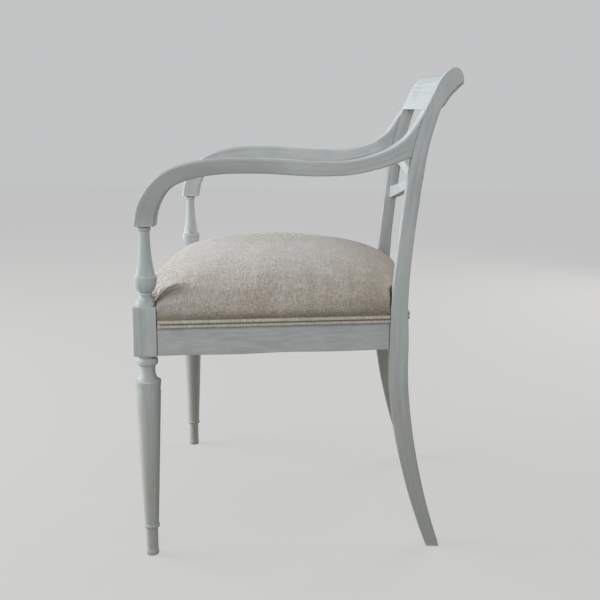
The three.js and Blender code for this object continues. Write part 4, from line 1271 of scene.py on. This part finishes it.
def piping_finish():
    """Linen strained over the cords: fine ribs across, a stitched valley darkened with dirt and painted
    shade, soil and a painted shadow below it, and painted shade where other parts close in
    """
    linen = Finish("piping linen", IOR=1.45, Specular_IOR_Level=0.12)
    run = linen.attribute("run", "Vector")
    along, rise, _ = linen.axes(run)
    ribs = linen.maths("SINE", (along + rise * 0.5) * (math.tau / 0.0017))
    slubs = linen.noise(run, (420, 70, 70), 3.0, 0.6)
    clouds = linen.noise(linen.place(), 60.0, 3.0, 0.6)
    valley = 1.0 - linen.maths("ABSOLUTE", rise).between(0.0004, 0.0016)
    valley = valley * along.between(0.002, 0.006)
    stitch = valley * linen.maths("SINE", along * (math.tau / 0.0068)).between(0.0, 0.7)
    lower = (rise * -1.0).between(0.0050, 0.0062)
    relief = ribs * 0.25 + slubs * 0.8 - valley * 0.8 + stitch * 0.5
    tone = (slubs * 0.7 + ribs * 0.1 + clouds * 0.4).between(0.2, 0.8)
    body = linen.blend(tone, (0.480, 0.435, 0.355), (0.840, 0.790, 0.695))
    # The valley and the lower edge are darkened: dirt, with painted shade in the valley and a painted shadow
    # below the lower cord
    dirtied_and_shaded = linen.blend(valley * 0.75 + lower * 0.55, body, (0.170, 0.120, 0.070))
    sewn = linen.blend(stitch * 0.5, dirtied_and_shaded, (0.560, 0.500, 0.400))
    # Painted shade where other parts close in on the piping
    dark = linen.blend(linen.hidden(0.006).between(0.5, 1.0) * 0.5, sewn, (0.120, 0.085, 0.050))
    return linen.surface(dark, 0.9 - tone * 0.05, relief, 0.0005)


piping_linen = piping_finish()


def cord_section():
    """Points round both cords, as how far they stand off the rail and how far above the middle"""
    upper = [math.radians(a) for a in np.linspace(140, -70, 13)]
    points = [(cord_stand + cord_radius * math.cos(a), cord_rise + cord_radius * math.sin(a)) for a in upper]
    points = [(piping_flat, points[0][1]), *points, (valley_stand, 0)]
    lower = [(out, -rise) for out, rise in reversed(points[:-1])]
    return points + lower


def run_piping(name, node, start, end, outward):
    """The section drawn upright at one end and run along the rail to the other"""
    length = math.dist(start, end)
    ahead = [(b - a) / length for a, b in zip(start, end)]

    def place(along, out, rise):
        x, y = (a + d * along + o * out for a, d, o in zip(start, ahead, outward))
        return (x, y, piping_middle + rise)

    first = end_shares[0][1]
    ring = [place(0, middle_out + (out - middle_out) * first, rise * first) for out, rise in cord_section()]
    piece = draw_line(name, ring)
    bpy.ops.mesh.select_all(action="SELECT")
    bpy.ops.mesh.edge_face_add()
    runs = [*end_shares, *((s, 1.0) for s in np.linspace(0.006, length - 0.006, 72))]
    runs += [(length - s, size) for s, size in reversed(end_shares)]
    for (before, small), (after, large) in zip(runs, runs[1:]):
        step = (*((after - before) * d for d in ahead), 0)
        bpy.ops.mesh.extrude_region_move(TRANSFORM_OT_translate={"value": step})
        grown = large / small
        bpy.ops.transform.resize(value=(grown, grown, grown), center_override=place(after, middle_out, 0))
    settle(piece, 50)
    run = []
    for vertex in piece.data.vertices:
        along = sum((p - a) * d for p, a, d in zip(vertex.co, start, ahead))
        run.append((along, vertex.co.z - piping_middle, 0))
    store(piece, "run", "FLOAT_VECTOR", run)
    stand_for(piece, piping_linen, "piping_linen", node)


front_ends = (piping_low.x, front_face), (piping_high.x, front_face)
run_piping("piping_front_cords", "piping_front", *front_ends, (0, -1))
back_low, back_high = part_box("piping_back")
back_ends = (back_high.x, back_face), (back_low.x, back_face)
run_piping("piping_back_cords", "piping_back", *back_ends, (0, 1))
slant = math.hypot(1, side_slope)
piping_start, piping_end = leg_back_y + 0.001, rear_front_y - 0.001
for side, name in ((1, "left"), (-1, "right")):
    run_piping(
        f"piping_{name}_cords",
        f"piping_side_{name}",
        (side * side_face(piping_start), piping_start),
        (side * side_face(piping_end), piping_end),
        (side / slant, -side_slope / slant),
    )

# Studio. A pale floor that runs into a pale backdrop, a large soft window light in front of the
# chair, weaker ones above it, at the camera's side and behind it, and a camera at the photograph's
# place and angle.
def seen_plainly(finish):
    """1 for what the camera sees straight, in a gloss or through a glass"""
    seen = 0.0
    for ray in ("Camera", "Glossy", "Transmission"):
        found = finish.node("ShaderNodeLightPath", {}, {}, f"Is {ray} Ray")
        seen = finish.maths("MAXIMUM", found, seen)
    return seen


def show_backdrop(finish, share, plain, output):
    """Puts the plain colour in the place of the lit one for the share of what is seen"""
    lit = Value(finish, finish.shader.outputs[0])
    mixed = finish.node("ShaderNodeMixShader", {}, {0: share, 1: lit, 2: plain})
    finish.feed(finish.tree.nodes[output].inputs["Surface"], mixed)


bpy.ops.object.select_all(action="DESELECT")
bpy.ops.mesh.primitive_plane_add(size=14, location=(0, 0, 0))
floor = named("floor")
ground = Finish("pale floor", Base_Color=(0.28, 0.25, 0.21, 1), Roughness=0.9)
glow = ground.node("ShaderNodeEmission", {}, {"Color": (0.98, 0.995, 1.0)})
show_backdrop(ground, seen_plainly(ground) * 0.5, glow, "Material Output")
floor.data.materials.append(ground.owner)

sky = Finish("studio", "worlds", "Background", Color=(0.97, 0.985, 1.0, 1), Strength=0.17)
backdrop = sky.node("ShaderNodeBackground", {}, {"Color": (0.545, 0.55, 0.555)})
show_backdrop(sky, seen_plainly(sky), backdrop, "World Output")
bpy.context.scene.world = sky.owner


def lamp(name, place, aim_height, size, power, colour):
    """A square soft light that points at a height in the middle of the chair"""
    bpy.ops.object.light_add(type="AREA", location=place)
    light = named(name)
    light.data.shape = "SQUARE"
    light.data.size = size
    light.data.energy = power
    light.data.color = colour
    x, y, z = (a - b for a, b in zip((0, 0, aim_height), place))
    light.rotation_euler = (math.atan2(math.hypot(x, y), -z), 0, math.atan2(y, x) - math.pi / 2)


lamp("window", (-0.25, -2.7, 1.20), 0.42, 1.7, 72, (0.95, 0.98, 1.0))
lamp("ceiling", (-0.1, -0.2, 2.7), 0.4, 2.0, 9, (0.97, 0.99, 1.0))
lamp("side light", (1.85, -0.25, 1.15), 0.4, 1.2, 13, (0.94, 0.98, 1.0))
lamp("fill from behind", (-1.9, 1.7, 1.3), 0.4, 1.6, 30, (0.97, 0.99, 1.0))

# The picture's focal length in pixels, and the camera's place and turns as found from the chair
focal_pixels = 874.57
picture_pixels = 600
sensor_width = 36
camera_place = (1.5935, 0.0247, 0.7271)
yaw, pitch, roll = -0.0190, 0.2115, 0.0101


def turned(first, second, angle):
    """Two directions, turned in the plane that they lie in"""
    c, s = math.cos(angle), math.sin(angle)
    return c * first + s * second, c * second - s * first


ahead, right, above = np.array([-1.0, 0, 0]), np.array([0, 1.0, 0]), np.array([0, 0, 1.0])
ahead, right = turned(ahead, right, yaw)
above, ahead = turned(above, ahead, pitch)
right, above = turned(right, above, roll)
bpy.ops.object.camera_add(location=camera_place)
camera = bpy.context.object
axes = camera.matrix_world.to_3x3()
for row in range(3):
    axes[row] = (right[row], above[row], -ahead[row])
camera.rotation_euler = axes.to_euler()
camera.data.sensor_width = sensor_width
camera.data.lens = sensor_width * focal_pixels / picture_pixels
bpy.context.scene.camera = camera
bpy.context.scene.view_settings.view_transform = "Standard"
